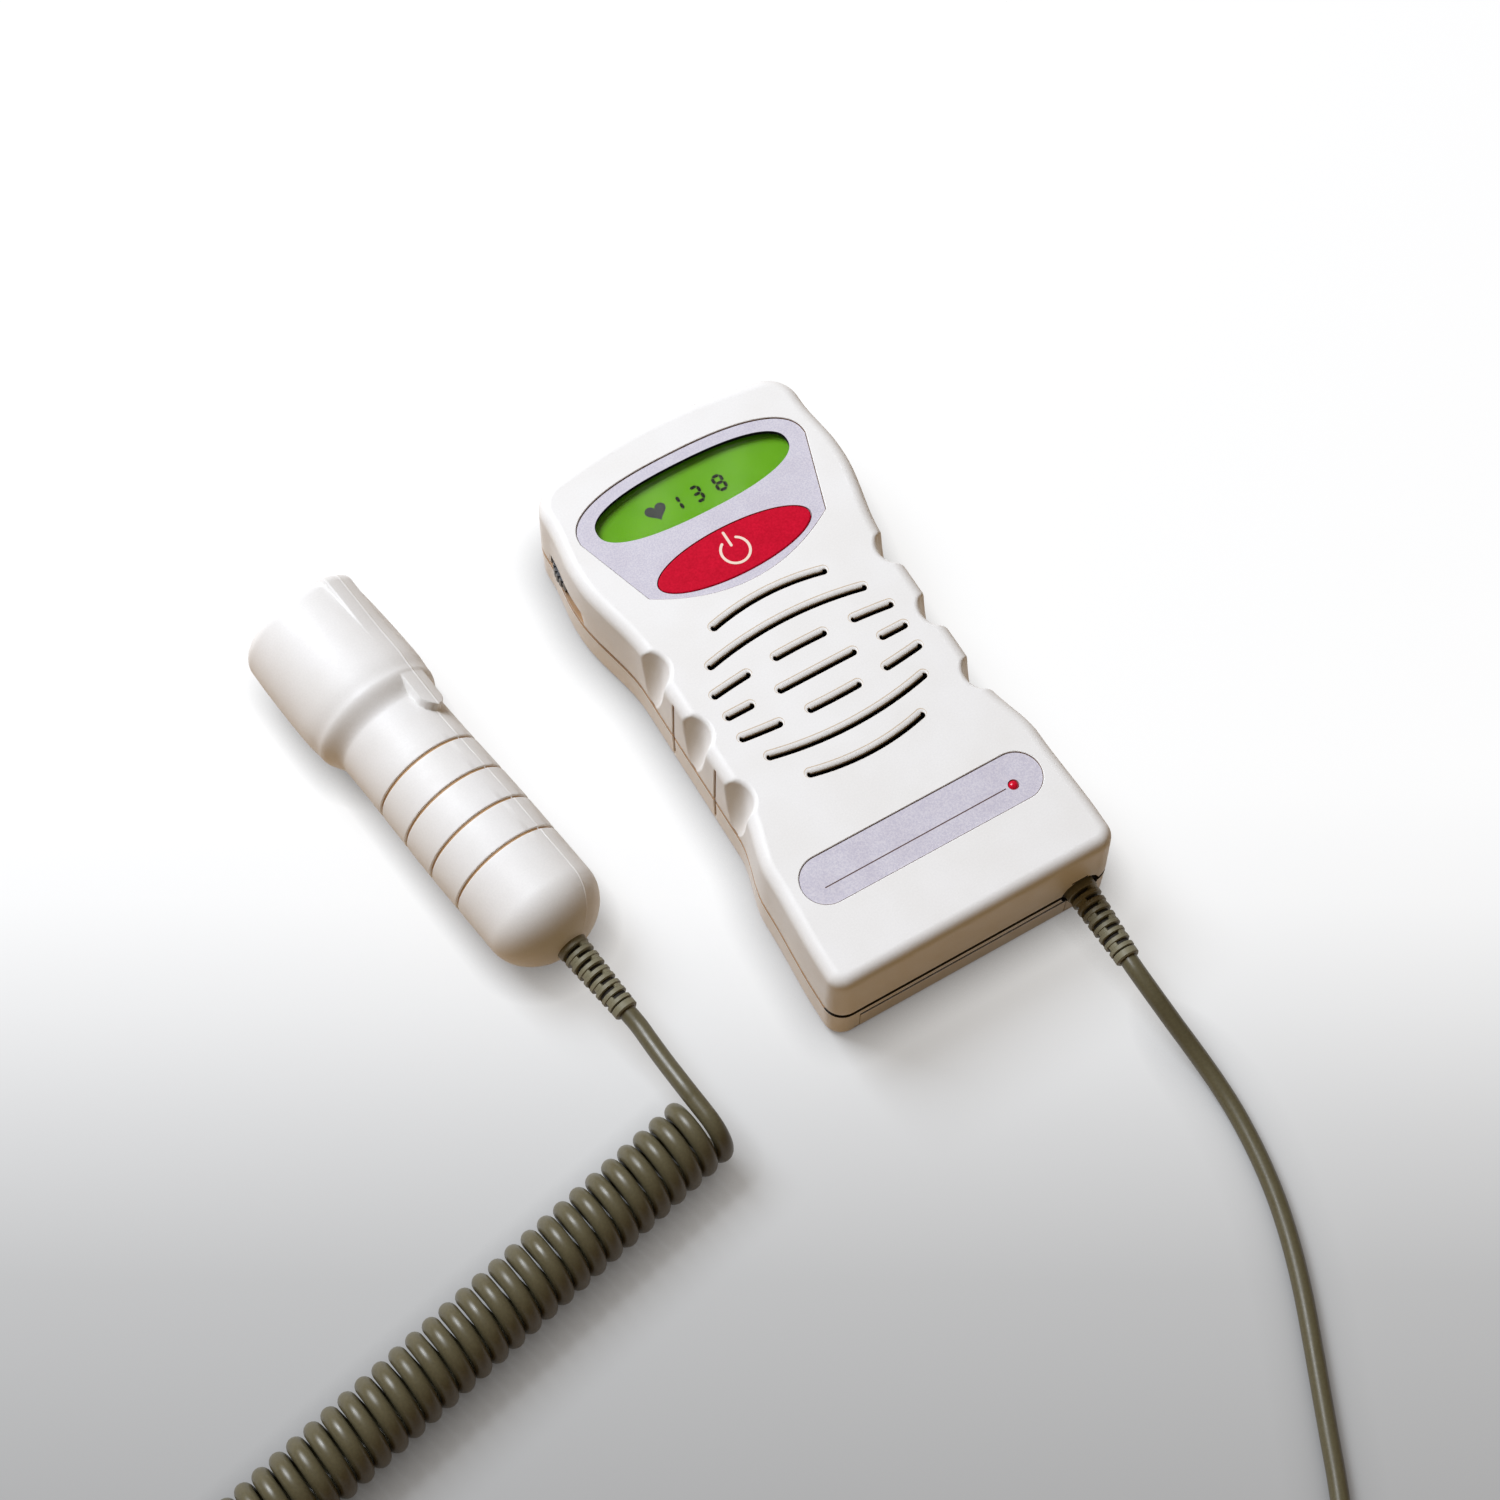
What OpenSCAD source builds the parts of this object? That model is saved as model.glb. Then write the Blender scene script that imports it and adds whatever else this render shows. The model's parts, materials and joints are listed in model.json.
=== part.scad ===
// Handheld ultrasound heartbeat monitor with a round probe on a curly cord.
// The monitor lies on its back: X across the case, +Y towards the display end, Z up.
// The origin is the middle of the case on the surface that it rests on.

/* [Case] */
// Length of the monitor case
case_len = 140.5; // [138:0.5:146]
// Thickness of the monitor case, front to back
case_h = 28; // [27.5:0.5:31]
// Width of the case at the display end
top_w = 69.2; // [68:0.2:74]
// Width of the case at the finger grips
waist_w = 61.8; // [61:0.2:65]
// Width of the case at the cord end
base_w = 70.4; // [69:0.2:75]
// Height of the parting line between the two shells
seam_z = 11; // [10.5:0.5:12]
// Thickness of the side walls
wall_t = 2.2; // [1.8:0.1:2.4]
// Thickness of the front face
face_t = 2.5; // [2.3:0.1:2.8]
// Thickness of the rear face
floor_t = 2.2; // [2.1:0.1:2.6]
// Radius round the edge of the front face
edge_r = 3; // [2:0.25:3.5]
// Radius round the edge of the rear face
foot_r = 1.8; // [1:0.2:2.2]
// Radius of the two corners at the cord end
corner_r = 4.5; // [4:0.5:7]
// Radius of the two corners at the display end
crown_r = 8; // [7:0.5:9]
// Rise of the arched display end above its corners
crown_rise = 2.8; // [1:0.2:4]
// Depth of the V groove at the parting line
seam_groove = 0.35; // [0.1:0.05:0.5]

/* [Finger grips] */
// Middle of the finger grips along the case
grip_y = -3.35; // [-5:0.05:-2]
// Distance between neighbouring finger scallops
scallop_pitch = 18; // [16:0.5:19]
// Radius of a finger scallop
scallop_r = 5; // [4:0.25:5.5]
// Depth of a scallop at the front face
scallop_depth = 4; // [3:0.25:4.5]
// Wall left behind a scallop
scallop_wall = 1.4; // [1:0.1:1.6]
// Width of the groove between two scallops
groove_w = 1; // [0.6:0.1:1.4]
// Depth of the groove between two scallops
groove_depth = 0.6; // [0.3:0.1:0.9]

/* [Speaker grille] */
// Width of a grille slot
slot_w = 3; // [2:0.1:3.6]
// Distance between neighbouring rows of slots
slot_pitch = 7.4; // [6.8:0.1:7.6]
// Curvature that each row gains over the row nearer the middle, per mm
slot_bow = 0.006; // [0:0.001:0.008]
// Half width of the grille at its widest rows
grille_half_w = 23.6; // [21:0.2:24]

/* [Display] */
// Middle of the display window along the case
window_y = 50.1; // [49.6:0.1:50.4]
// Width of the display window
window_w = 48.8; // [44:0.4:49.2]
// Height of the display window
window_h = 14.2; // [12:0.2:14.6]
// Depth of the recess that holds the fascia sheet
fascia_recess = 0.9; // [0.7:0.05:1]
// Thickness of the fascia sheet
fascia_t = 0.5; // [0.3:0.05:0.6]
// Thickness of the clear window
lens_t = 1; // [0.8:0.05:1.2]
// Depth of the clear window's pocket, measured from the front face
lens_depth = 1.6; // [1.5:0.05:1.8]
// Thickness of the display glass
glass_t = 2; // [1.5:0.1:2.2]
// Thickness of a circuit board
board_t = 1.6; // [1:0.1:1.8]

/* [Power button] */
// Middle of the power button along the case
button_y = 31.5; // [31:0.1:32]
// Width of the power button
button_w = 38.4; // [34:0.4:39]
// Height of the power button
button_h = 12.2; // [10:0.2:12.4]
// Distance that the power button travels
button_travel = 0.6; // [0.3:0.05:0.8]
// Gap round the power button
key_gap = 0.25; // [0.15:0.05:0.35]

/* [Speaker] */
// Diameter of the speaker frame
speaker_d = 50; // [44:0.5:50]
// Depth of the speaker frame
speaker_t = 5; // [4.5:0.1:5.5]
// Diameter of the speaker magnet
magnet_d = 24; // [18:0.5:28]
// Thickness of the speaker magnet
magnet_t = 4.5; // [3:0.1:5]

/* [Volume control] */
// Middle of the volume wheel along the case
wheel_y = 51.3; // [50.8:0.1:51.6]
// Diameter of the volume wheel
wheel_d = 17; // [15:0.5:17.5]
// Thickness of the volume wheel
wheel_t = 3; // [2:0.1:3.2]
// Distance that the wheel stands out of the case
wheel_proud = 0.7; // [0.2:0.1:1.2]
// Number of teeth round the volume wheel
wheel_teeth = 36; // [24:2:40]
// Radius of the volume control's shaft
shaft_r = 2; // [1.5:0.1:2.5]

/* [Battery] */
// Length of the block battery with its terminals
battery_l = 48.5; // [46:0.5:49]
// Width of the block battery
battery_w = 26.5; // [24:0.5:26.5]
// Thickness of the block battery
battery_t = 17.5; // [15:0.5:17.5]
// Wall of the battery bay
bay_wall = 1.2; // [0.8:0.1:1.3]

/* [Battery door] */
// Length of the battery door
door_l = 37; // [36:0.5:40]
// Width of the battery door
door_w = 51.8; // [50:0.2:52]
// Height of the door's end lip
lip_h = 8; // [7:0.25:8.5]
// Running gap round the battery door
door_gap = 0.2; // [0.1:0.05:0.3]

/* [Label] */
// Middle of the label along the case
label_y = -46.9; // [-48:0.1:-46]
// Length of the label
label_l = 58.6; // [54:0.2:60]
// Height of the label
label_h = 11.4; // [10:0.2:12]
// Depth of the recess that holds the label
label_recess = 0.7; // [0.5:0.05:0.9]
// Thickness of the label
label_t = 0.4; // [0.2:0.05:0.45]
// Radius of the indicator light
led_r = 1.15; // [0.9:0.05:1.5]

/* [Probe] */
// Length of the probe body without its strain relief
probe_l = 99; // [96:0.5:104]
// Radius of the probe's handle
probe_r = 13.5; // [13:0.1:14]
// Radius of the probe's head at its widest
head_r = 15.6; // [15:0.1:16.4]
// Thickness of the probe's shell
probe_wall = 2; // [1.6:0.1:2.2]
// Radius of the probe's waist under its head
probe_waist_r = 12.9; // [12.5:0.1:13]
// Distance between neighbouring ring grooves on the handle
ring_pitch = 9.2; // [8.6:0.1:9.6]
// Width of a ring groove
ring_w = 0.6; // [0.4:0.05:0.8]
// Half width of the tongue below the head
tongue_r = 3.7; // [3:0.1:4.2]
// Radius of the transducer face
face_r = 11.8; // [11:0.1:12]
// Turn of the probe about the vertical
probe_yaw = 8.84; // [6:0.02:10]

/* [Cord] */
// Diameter of the cord
wire_d = 4; // [3.8:0.02:4.02]
// Outer diameter of the curly part
coil_od = 17; // [16.9:0.02:17.2]
// Distance between neighbouring curls
curl_pitch = 4.45; // [4.44:0.01:4.6]
// Number of curls
curls = 30; // [28:1:30]
// Length of a strain relief outside its housing
relief_l = 19; // [17:0.5:19.5]
// Radius of a strain relief at its root
relief_r = 3.6; // [3.2:0.1:3.7]

/* [Screws] */
// Radius of a case screw's shank
screw_r = 1.2; // [1:0.05:1.4]
// Radius of a board screw's shank
small_screw_r = 0.9; // [0.7:0.05:1]
// Radial gap between a turning part or a screw and its hole
bore_gap = 0.05; // [0.02:0.01:0.08]

/* [Hidden] */
$fn = 48;
eps = 0.1;

casing = [0.93, 0.92, 0.89];
black = [0.06, 0.06, 0.07];
khaki = [0.42, 0.4, 0.31];
board_green = [0.08, 0.35, 0.2];
steel = [0.7, 0.71, 0.73];

// Heights inside the case
plate_z = case_h - face_t;
fascia_top = case_h - fascia_recess + fascia_t;
lens_top = case_h - lens_depth;
lens_z = lens_top - lens_t;
glass_z = lens_z - 0.1 - glass_t;
backlight_t = 3;
display_board_z = glass_z - backlight_t - board_t;
board_post_h = 4.8;
board_z = floor_t + board_post_h;
board_top = board_z + board_t;
screw_head_h = 1.8;
screw_head_r = 2.6;
boss_top = screw_head_h + 2.4;
small_head_h = 1.2;
small_head_r = 1.9;

// Places in the plan of the case
case_end = case_len / 2;
crown_y = case_end - crown_rise - crown_r * sin(77);
crown_x = 33.2 - crown_r + (top_w - 69.2) / 2;
screw_inset = 5.6;
upper_screw = [22.5, case_end - 7.75];
lower_screw = [half_width(-26) - screw_inset, -26];
case_screw_places = [
    [-upper_screw[0], upper_screw[1]], upper_screw, [-lower_screw[0], lower_screw[1]], lower_screw
];
board_post_places = [[-14, 57], [14, 57], [-18.5, -24], [18.5, -24]];
display_post_places = [[-12, 61], [12, 61], [-18.5, 23], [18.5, 23]];
post_r = 3;
board_post_r = 2.5;
display_post_r = 2;
display_x = 21;

// Volume control
wheel_r = wheel_d / 2;
wheel_x = -(half_width(wheel_y) + wheel_proud - wheel_r);
pot_h = 3.4;
wheel_z = board_top + pot_h + 0.6;

// Battery bay and door: the bay stands on two rails above the door's flanges
door_x = -2.7;
door_t = 2;
door_lift = 0.2;
flange_w = 1.2;
rail_h = 1.2;
bay_z = floor_t + rail_h;
contact_t = 2.2;
bay_left = door_x - door_w / 2 + 0.2;
bay_right = door_x + door_w / 2 - 0.2;
bay_low = -case_end + 4.65;
bay_high = bay_low + 27.1;
battery_z = door_t + 0.3;
bay_roof = battery_z + battery_t + 0.5;
light_at = [22.1, -48.2];

// Probe
probe_tail = [-74.7, -27.75];
shoulder_s = 0.707 * probe_l;
rest_s = 76;
dome_l = 11;
probe_tilt = asin((head_r - probe_r) / (rest_s - dome_l));
probe_z = probe_r - dome_l * sin(probe_tilt) + 0.02;
probe_seam = 47;
tail_s = 0.4;
tail_wall = 2;
ring_s = 22.9;
board_s = 26;

// Cord: the curls run from the probe's lead to the monitor's lead
wire_r = wire_d / 2;
gland_at = [26.4, -case_end, seam_z];
flange_t = 1;
coil_start = [-69.3, -75.15];
coil_turn = 12.8;
coil_r = coil_od / 2 - wire_r;
coil_end_angle = 360 * curls + 45;
along = [-cos(coil_turn), -sin(coil_turn), 0];
across = [sin(coil_turn), -cos(coil_turn), 0];
up = [0, 0, 1];
rings_per_curl = 8;

lead_points = [
    [26.9, -99, 9.8], [28, -106, 6.9], [29.1, -113, 4.2], [29.7, -121, 2.5], [29.4, -129, 2.05],
    [28.2, -138, 2.05], [26.3, -147, 2.05], [23.6, -156, 2.05], [20, -165.5, 2.05],
    [15.8, -175, 2.05], [11.4, -184.5, 2.05], [7, -194, 2.05], [2.6, -203.5, 2.05],
    [-2.6, -213, 2.05], [-10, -221, 2.05], [-20, -226, 2.05], [-31, -226.5, 2.05],
    [-42, -223, 2.05], [-53, -217.5, 2.05], [-65, -211, 2.05], [-77, -204, 2.05],
    [-89, -197, 2.05], [-101, -190, 2.05], [-113, -183, 2.05], [-125, -176, 2.05],
    [-137, -169.5, 2.05], [-149, -163.5, 2.05], [-161, -157.5, 2.05], [-172, -151.5, 2.05],
    [-182, -144.5, 2.05], [-190, -136, 2.05], [-195, -127, 2.6], [-197.4, -119.5, 4.8]
];
probe_lead_points = [[-71, -54.5, 12.9], [-70.7, -60, 13.6]];

// ---------- outlines ----------

// Goes smoothly from 0 to 1 as t goes from 0 to 1
function ease(t) = let (c = min(1, max(0, t))) c * c * (3 - 2 * c);

// Half of the case's width at a place along it
function half_width(y) =
    waist_w / 2
    + (top_w - waist_w) / 2 * ease((y - grip_y - 21.4) / 24)
    - 1.4 * ease((y - 44) / 14)
    + (base_w - waist_w) / 2 * (0.8 * ease((grip_y - 19.6 - y) / 17) + 0.2 * ease((-40 - y) / 22));

// The right half of the case's outline, from the cord end to the display end
side_step = (crown_y + case_end - corner_r) / 30;
right_side = concat(
    [for (a = [-90:18:-18]) [
        half_width(-case_end) - corner_r + corner_r * cos(a), -case_end + corner_r + corner_r * sin(a)
    ]],
    [for (i = [0:29]) let (y = -case_end + corner_r + i * side_step) [half_width(y), y]],
    [for (a = [0:11:77]) [crown_x + crown_r * cos(a), crown_y + crown_r * sin(a)]],
    [for (i = [3:-1:1]) let (x = i / 4 * (crown_x + crown_r * cos(77)))
        [x, case_end - crown_rise * pow(i / 4, 2)]]
);
case_outline = concat(
    right_side,
    [[0, case_end]],
    [for (i = [len(right_side) - 1:-1:0]) [-right_side[i][0], right_side[i][1]]]
);

// Moves each point of a closed outline inwards along its normal
function inset(points, d) =
    [for (i = [0:len(points) - 1])
        let (
            before = points[(i + len(points) - 1) % len(points)],
            after = points[(i + 1) % len(points)],
            run = after - before
        )
        points[i] + d * [-run[1], run[0]] / norm(run)
    ];

// A closed curve between an ellipse (power 2) and a rectangle
function super_ellipse(w, h, power, steps = 56) =
    [for (i = [0:steps - 1])
        let (a = 360 * i / steps, c = cos(a), s = sin(a))
        [
            w / 2 * sign(c) * pow(abs(c), 2 / power),
            h / 2 * sign(s) * pow(abs(s), 2 / power)
        ]
    ];

// The fascia: an arched top, sides that slope in, and a bowed lower edge
fascia_half_w = 28.9;
fascia_low_w = 22.6;
fascia_shoulder = 49.5;
fascia_rise = 10.6;
fascia_low_y = 30;
fascia_bow = 7.1;
fascia_right = concat(
    [for (i = [0:6]) let (x = fascia_low_w * i / 6)
        [x, fascia_low_y - fascia_bow + fascia_bow * pow(i / 6, 2)]],
    [for (i = [0:12]) let (a = 90 * i / 12)
        [fascia_half_w * pow(cos(a), 0.8), fascia_shoulder + fascia_rise * pow(sin(a), 0.8)]]
);
fascia_outline = concat(
    fascia_right,
    [for (i = [len(fascia_right) - 2:-1:1]) [-fascia_right[i][0], fascia_right[i][1]]]
);

// A slot with round ends that follows its bowed row
function slot_outline(from_x, to_x, row_y, bow, w) =
    let (
        r = w / 2,
        steps = 8,
        middle = [for (i = [0:steps])
            let (x = from_x + r + (to_x - from_x - w) * i / steps) [x, row_y - bow * x * x / 2]],
        tilt_low = atan(-bow * middle[0][0]),
        tilt_high = atan(-bow * middle[steps][0])
    )
    concat(
        [for (p = middle) p - [0, r]],
        [for (a = [-60:30:60]) middle[steps] + r * [cos(a + tilt_high), sin(a + tilt_high)]],
        [for (i = [steps:-1:0]) middle[i] + [0, r]],
        [for (a = [120:30:240]) middle[0] + r * [cos(a + tilt_low), sin(a + tilt_low)]]
    );

// Slot ends of each row, from the middle row outwards
middle_row = [[-10.6, 10.6], [15.2, grille_half_w], [-grille_half_w, -15.2]];
broken_row = [[-7.4, 7.4], [12.1, grille_half_w], [-grille_half_w, -12.1]];
long_row = [[2.8 - grille_half_w, grille_half_w - 2.8]];
short_row = [[8.2 - grille_half_w, grille_half_w - 8.2]];
grille_rows = [middle_row, broken_row, long_row, short_row];

// A closed skin through rings of equal length, one above the other
module loft(rings) {
    n = len(rings[0]);
    last = len(rings) - 1;
    polyhedron(
        points = [for (ring = rings) each ring],
        faces = concat(
            [[for (i = [0:n - 1]) i]],
            [[for (i = [n - 1:-1:0]) last * n + i]],
            [for (k = [0:last - 1], i = [0:n - 1])
                [k * n + i, (k + 1) * n + (i + 1) % n, k * n + (i + 1) % n]],
            [for (k = [0:last - 1], i = [0:n - 1])
                [k * n + i, (k + 1) * n + i, (k + 1) * n + (i + 1) % n]]
        ),
        convexity = 8
    );
}

function case_ring(z, d) = [for (p = inset(case_outline, d)) [p[0], p[1], z]];

// ---------- monitor case ----------

// Skins run on past their flat faces and are cut off there: each profile is [height, inset]
function past(before, at) = 2 * at - before;
function edge_arc(r, draft, a) = [r * sin(a), draft + r * (1 - cos(a))];

module skin(profile, low, high) {
    intersection() {
        loft([for (p = profile) case_ring(p[0], p[1])]);
        translate([-case_len, -case_len, low])
            cube([2 * case_len, 2 * case_len, high - low]);
    }
}

module front_skin() {
    draft = 0.25;
    arc = [for (a = [0:18:90]) [case_h - edge_r, 0] + edge_arc(edge_r, draft, a)];
    skin(
        concat(
            [[seam_z - 1, seam_groove + 1], [seam_z + seam_groove, 0]],
            [for (i = [0:4]) arc[i]],
            [past(arc[4], arc[5])]
        ),
        seam_z, case_h
    );
}

module rear_skin() {
    draft = 0.2;
    arc = [for (a = [90:-22.5:0]) let (p = edge_arc(foot_r, draft, a)) [foot_r - p[0], p[1]]];
    skin(
        concat(
            [past(arc[1], arc[0])],
            [for (i = [1:4]) arc[i]],
            [[seam_z - seam_groove, 0], [seam_z + 1, seam_groove + 1]]
        ),
        0, seam_z
    );
}

module case_room(low, high, d) {
    translate([0, 0, low])
        linear_extrude(high - low)
            polygon(inset(case_outline, d));
}

// The finger scallops lean outwards and run out at the parting line
module scallops(extra) {
    lean = atan(scallop_depth / (case_h - seam_z));
    for (side = [-1, 1], k = [-1:1])
        translate([
            side * (waist_w / 2 - scallop_depth + scallop_r), grip_y + k * scallop_pitch, case_h
        ])
            rotate([0, side * -lean, 0])
                translate([0, 0, 6 - 24])
                    cylinder(r = scallop_r + extra, h = 24);
}

module grip_grooves() {
    for (side = [-1, 1], k = [-0.5, 0.5])
        translate([
            side * (waist_w / 2 + 2 - groove_depth) - 2,
            grip_y + k * scallop_pitch - groove_w / 2,
            foot_r + 1
        ])
            cube([4, groove_w, case_h - edge_r - foot_r - 1]);
}

module grille(low, high, w) {
    translate([0, 0, low])
        linear_extrude(high - low)
            for (k = [-3:3], ends = grille_rows[abs(k)])
                polygon(slot_outline(ends[0], ends[1], grip_y + k * slot_pitch, k * slot_bow, w));
}

module stadium(l, h) {
    square([l - h, h], center = true);
    for (side = [-1, 1])
        translate([side * (l - h) / 2, 0])
            circle(d = h);
}

module gland_bore(gap) {
    translate(gland_at - [0, eps, 0])
        rotate([-90, 0, 0])
            cylinder(r = relief_r + gap, h = wall_t + 3);
}

// A shallow dish round the volume wheel, and the slot that it looks out of
module wheel_slot() {
    dish_r = 40;
    dish_depth = 1.2;
    slot_h = wheel_z + wheel_t + 1.2 - seam_z;
    translate([-half_width(wheel_y) - dish_r + dish_depth, wheel_y, seam_z - eps])
        cylinder(r = dish_r, h = slot_h + eps, $fn = 120);
    translate([wheel_x, wheel_y, seam_z - eps])
        cylinder(r = wheel_r + 0.6, h = slot_h + eps);
}

module front_shell() {
    color(casing) difference() {
        union() {
            difference() {
                front_skin();
                difference() {
                    case_room(seam_z - eps, plate_z, wall_t);
                    scallops(scallop_wall);
                }
            }
            for (p = case_screw_places)
                translate([p[0], p[1], boss_top])
                    cylinder(r = post_r, h = plate_z - boss_top + eps);
            for (p = display_post_places)
                translate([p[0], p[1], display_board_z + board_t])
                    cylinder(r = display_post_r, h = plate_z - display_board_z - board_t + eps);
        }
        scallops(0);
        grip_grooves();
        grille(plate_z - 1, case_h + 1, slot_w);
        wheel_slot();
        gland_bore(bore_gap);
        translate([0, 0, case_h - fascia_recess])
            linear_extrude(2)
                polygon(fascia_outline);
        translate([0, window_y, plate_z - 1])
            linear_extrude(face_t + 2)
                polygon(super_ellipse(window_w, window_h, 2.4));
        translate([-window_w / 2 - 1.75, window_y - window_h / 2 - 2.05, plate_z - 1])
            cube([window_w + 3.5, window_h + 4.1, lens_top - plate_z + 1]);
        translate([0, button_y, plate_z - 1])
            linear_extrude(face_t + 2)
                polygon(super_ellipse(button_w + 2 * key_gap, button_h + 2 * key_gap, 2));
        translate([0, label_y, case_h - label_recess])
            linear_extrude(2)
                stadium(label_l + 0.3, label_h + 0.3);
        translate([light_at[0], light_at[1], plate_z - 1])
            cylinder(r = led_r + 0.1, h = face_t + 2);
        translate([light_at[0], light_at[1], light_z])
            cylinder(r = light_foot_r + 0.1, h = light_foot_h + 0.1);
        for (p = case_screw_places)
            translate([p[0], p[1], boss_top - eps])
                cylinder(r = screw_r + bore_gap, h = 14);
        for (p = display_post_places)
            translate([p[0], p[1], display_board_z])
                cylinder(r = small_screw_r + bore_gap, h = board_t + 3.6);
    }
}

// The space that the battery door slides in, open at the cord end
module door_way() {
    low_w = door_w + 2 * door_gap;
    high_w = low_w + 2 * flange_w;
    way_l = door_l + door_gap + 1;
    translate([door_x - low_w / 2, -case_end - 1, -1])
        cube([low_w, way_l, floor_t + 2]);
    translate([door_x - high_w / 2, -case_end - 1, door_t / 2])
        cube([high_w, way_l, floor_t - door_t / 2]);
    translate([door_x - low_w / 2, -case_end - 1, -1])
        cube([low_w, wall_t + 1.5, lip_h + door_gap + 1]);
}

module door_rails() {
    reach = 2.8;
    for (side = [-1, 1])
        translate([
            door_x + side * (door_w / 2 + reach / 2) - reach / 2, -case_end + wall_t - eps, floor_t
        ])
            cube([reach, door_l - wall_t + 1, rail_h]);
}

module rear_shell() {
    color(casing) difference() {
        union() {
            difference() {
                rear_skin();
                case_room(floor_t, seam_z + eps, wall_t);
                door_way();
            }
            door_rails();
            for (p = case_screw_places)
                translate([p[0], p[1], floor_t - eps])
                    cylinder(r = screw_head_r + 1, h = boss_top - floor_t + eps);
            for (p = board_post_places)
                translate([p[0], p[1], floor_t - eps])
                    cylinder(r = board_post_r, h = board_post_h + eps);
        }
        grip_grooves();
        gland_bore(bore_gap);
        for (p = case_screw_places) {
            translate([p[0], p[1], -eps])
                cylinder(r = screw_head_r + 0.3, h = screw_head_h + 0.6 + eps);
            translate([p[0], p[1], 0])
                cylinder(r = screw_r + 0.3, h = boss_top + eps);
        }
        for (p = board_post_places)
            translate([p[0], p[1], board_z - 3.2])
                cylinder(r = small_screw_r + bore_gap, h = 4);
    }
}

module battery_door() {
    ridge_w = 1;
    color(casing) difference() {
        union() {
            intersection() {
                rear_skin();
                union() {
                    translate([door_x - door_w / 2, -case_end - 1, door_lift])
                        cube([door_w, door_l + 1, door_t - door_lift]);
                    translate([door_x - door_w / 2, -case_end - 1, door_lift])
                        cube([door_w, wall_t + 0.85, lip_h - door_lift]);
                }
            }
            for (side = [-1, 1])
                translate([
                    door_x + side * (door_w / 2 + flange_w / 2 - 0.05) - flange_w / 2 - 0.05,
                    -case_end + wall_t,
                    door_t / 2 + door_gap
                ])
                    cube([flange_w + 0.1, door_l - wall_t, door_t / 2 - door_gap]);
        }
        for (k = [0:4])
            translate([door_x - 9, -case_end + 12 + k * 2.4, door_lift - eps])
                cube([18, ridge_w, 0.4 + eps]);
    }
}

module case_screws() {
    color(steel) for (p = case_screw_places)
        translate([p[0], p[1], 0.6]) {
            difference() {
                cylinder(r = screw_head_r, h = screw_head_h);
                translate([-1.8, -0.35, -eps]) cube([3.6, 0.7, 0.9]);
                translate([-0.35, -1.8, -eps]) cube([0.7, 3.6, 0.9]);
            }
            translate([0, 0, screw_head_h])
                cylinder(r = screw_r, h = 13);
        }
}

// ---------- battery ----------

module battery_bay() {
    color(black) difference() {
        translate([bay_left - bay_wall, bay_low - bay_wall, bay_z])
            cube([
                bay_right - bay_left + 2 * bay_wall,
                bay_high - bay_low + 2 * bay_wall,
                bay_roof - bay_z + bay_wall
            ]);
        translate([bay_left, bay_low, bay_z - 1])
            cube([bay_right - bay_left, bay_high - bay_low, bay_roof - bay_z + 1]);
    }
}

module battery_contacts() {
    color(steel) translate([
        bay_right - contact_t, (bay_low + bay_high) / 2 - 10, battery_z + battery_t / 2 - 5
    ])
        cube([contact_t, 20, 10]);
}

module block_battery() {
    terminal_l = 2.5;
    front_x = bay_right - contact_t;
    color([0.2, 0.22, 0.3]) {
        translate([
            front_x - battery_l, (bay_low + bay_high - battery_w) / 2, battery_z
        ])
            cube([battery_l - terminal_l, battery_w, battery_t]);
        for (side = [-1, 1])
            translate([
                front_x - terminal_l - eps, (bay_low + bay_high) / 2 + side * 6.3,
                battery_z + battery_t / 2
            ])
                rotate([0, 90, 0])
                    cylinder(r = side < 0 ? 2.8 : 3.6, h = terminal_l + eps);
    }
}

// ---------- display and button ----------

module display_fascia() {
    color([0.84, 0.82, 0.87]) difference() {
        translate([0, 0, case_h - fascia_recess])
            linear_extrude(fascia_t)
                polygon(inset(fascia_outline, 0.15));
        translate([0, window_y, case_h - fascia_recess - eps])
            linear_extrude(fascia_t + 2 * eps)
                polygon(super_ellipse(window_w, window_h, 2.4));
        translate([0, button_y, case_h - fascia_recess - eps])
            linear_extrude(fascia_t + 2 * eps)
                polygon(super_ellipse(button_w + 2 * key_gap, button_h + 2 * key_gap, 2));
    }
}

module display_window() {
    color([0.8, 0.9, 0.85, 0.4]) translate([
        -window_w / 2 - 1.6, window_y - window_h / 2 - 1.9, lens_z
    ])
        cube([window_w + 3.2, window_h + 3.8, lens_t]);
}

module display_glass() {
    color([0.4, 0.66, 0.12]) translate([
        -window_w / 2 - 0.6, window_y - window_h / 2 - 1.3, glass_z
    ])
        cube([window_w + 1.2, window_h + 2.6, glass_t]);
}

module backlight() {
    color([0.85, 0.9, 0.8]) translate([
        -window_w / 2 + 1, window_y - window_h / 2 - 0.5, glass_z - backlight_t
    ])
        cube([window_w - 2, window_h + 1, backlight_t]);
}

module display_board() {
    board_low = button_y - 11;
    post_tab_x = display_post_places[1][0] + display_post_r + 0.5;
    color(board_green) difference() {
        translate([0, 0, display_board_z])
            linear_extrude(board_t)
                union() {
                    translate([-display_x, board_low])
                        square([2 * display_x, window_y + 8.4 - board_low]);
                    translate([-post_tab_x, window_y])
                        square([2 * post_tab_x, display_post_places[0][1] + 2.2 - window_y]);
                }
        for (p = display_post_places)
            translate([p[0], p[1], display_board_z - eps])
                cylinder(r = small_screw_r + 0.15, h = board_t + 2 * eps);
    }
}

module display_screws() {
    color(steel) for (p = display_post_places)
        translate([p[0], p[1], display_board_z - small_head_h]) {
            cylinder(r = small_head_r, h = small_head_h);
            cylinder(r = small_screw_r, h = small_head_h + board_t + 3.2);
        }
}

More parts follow.
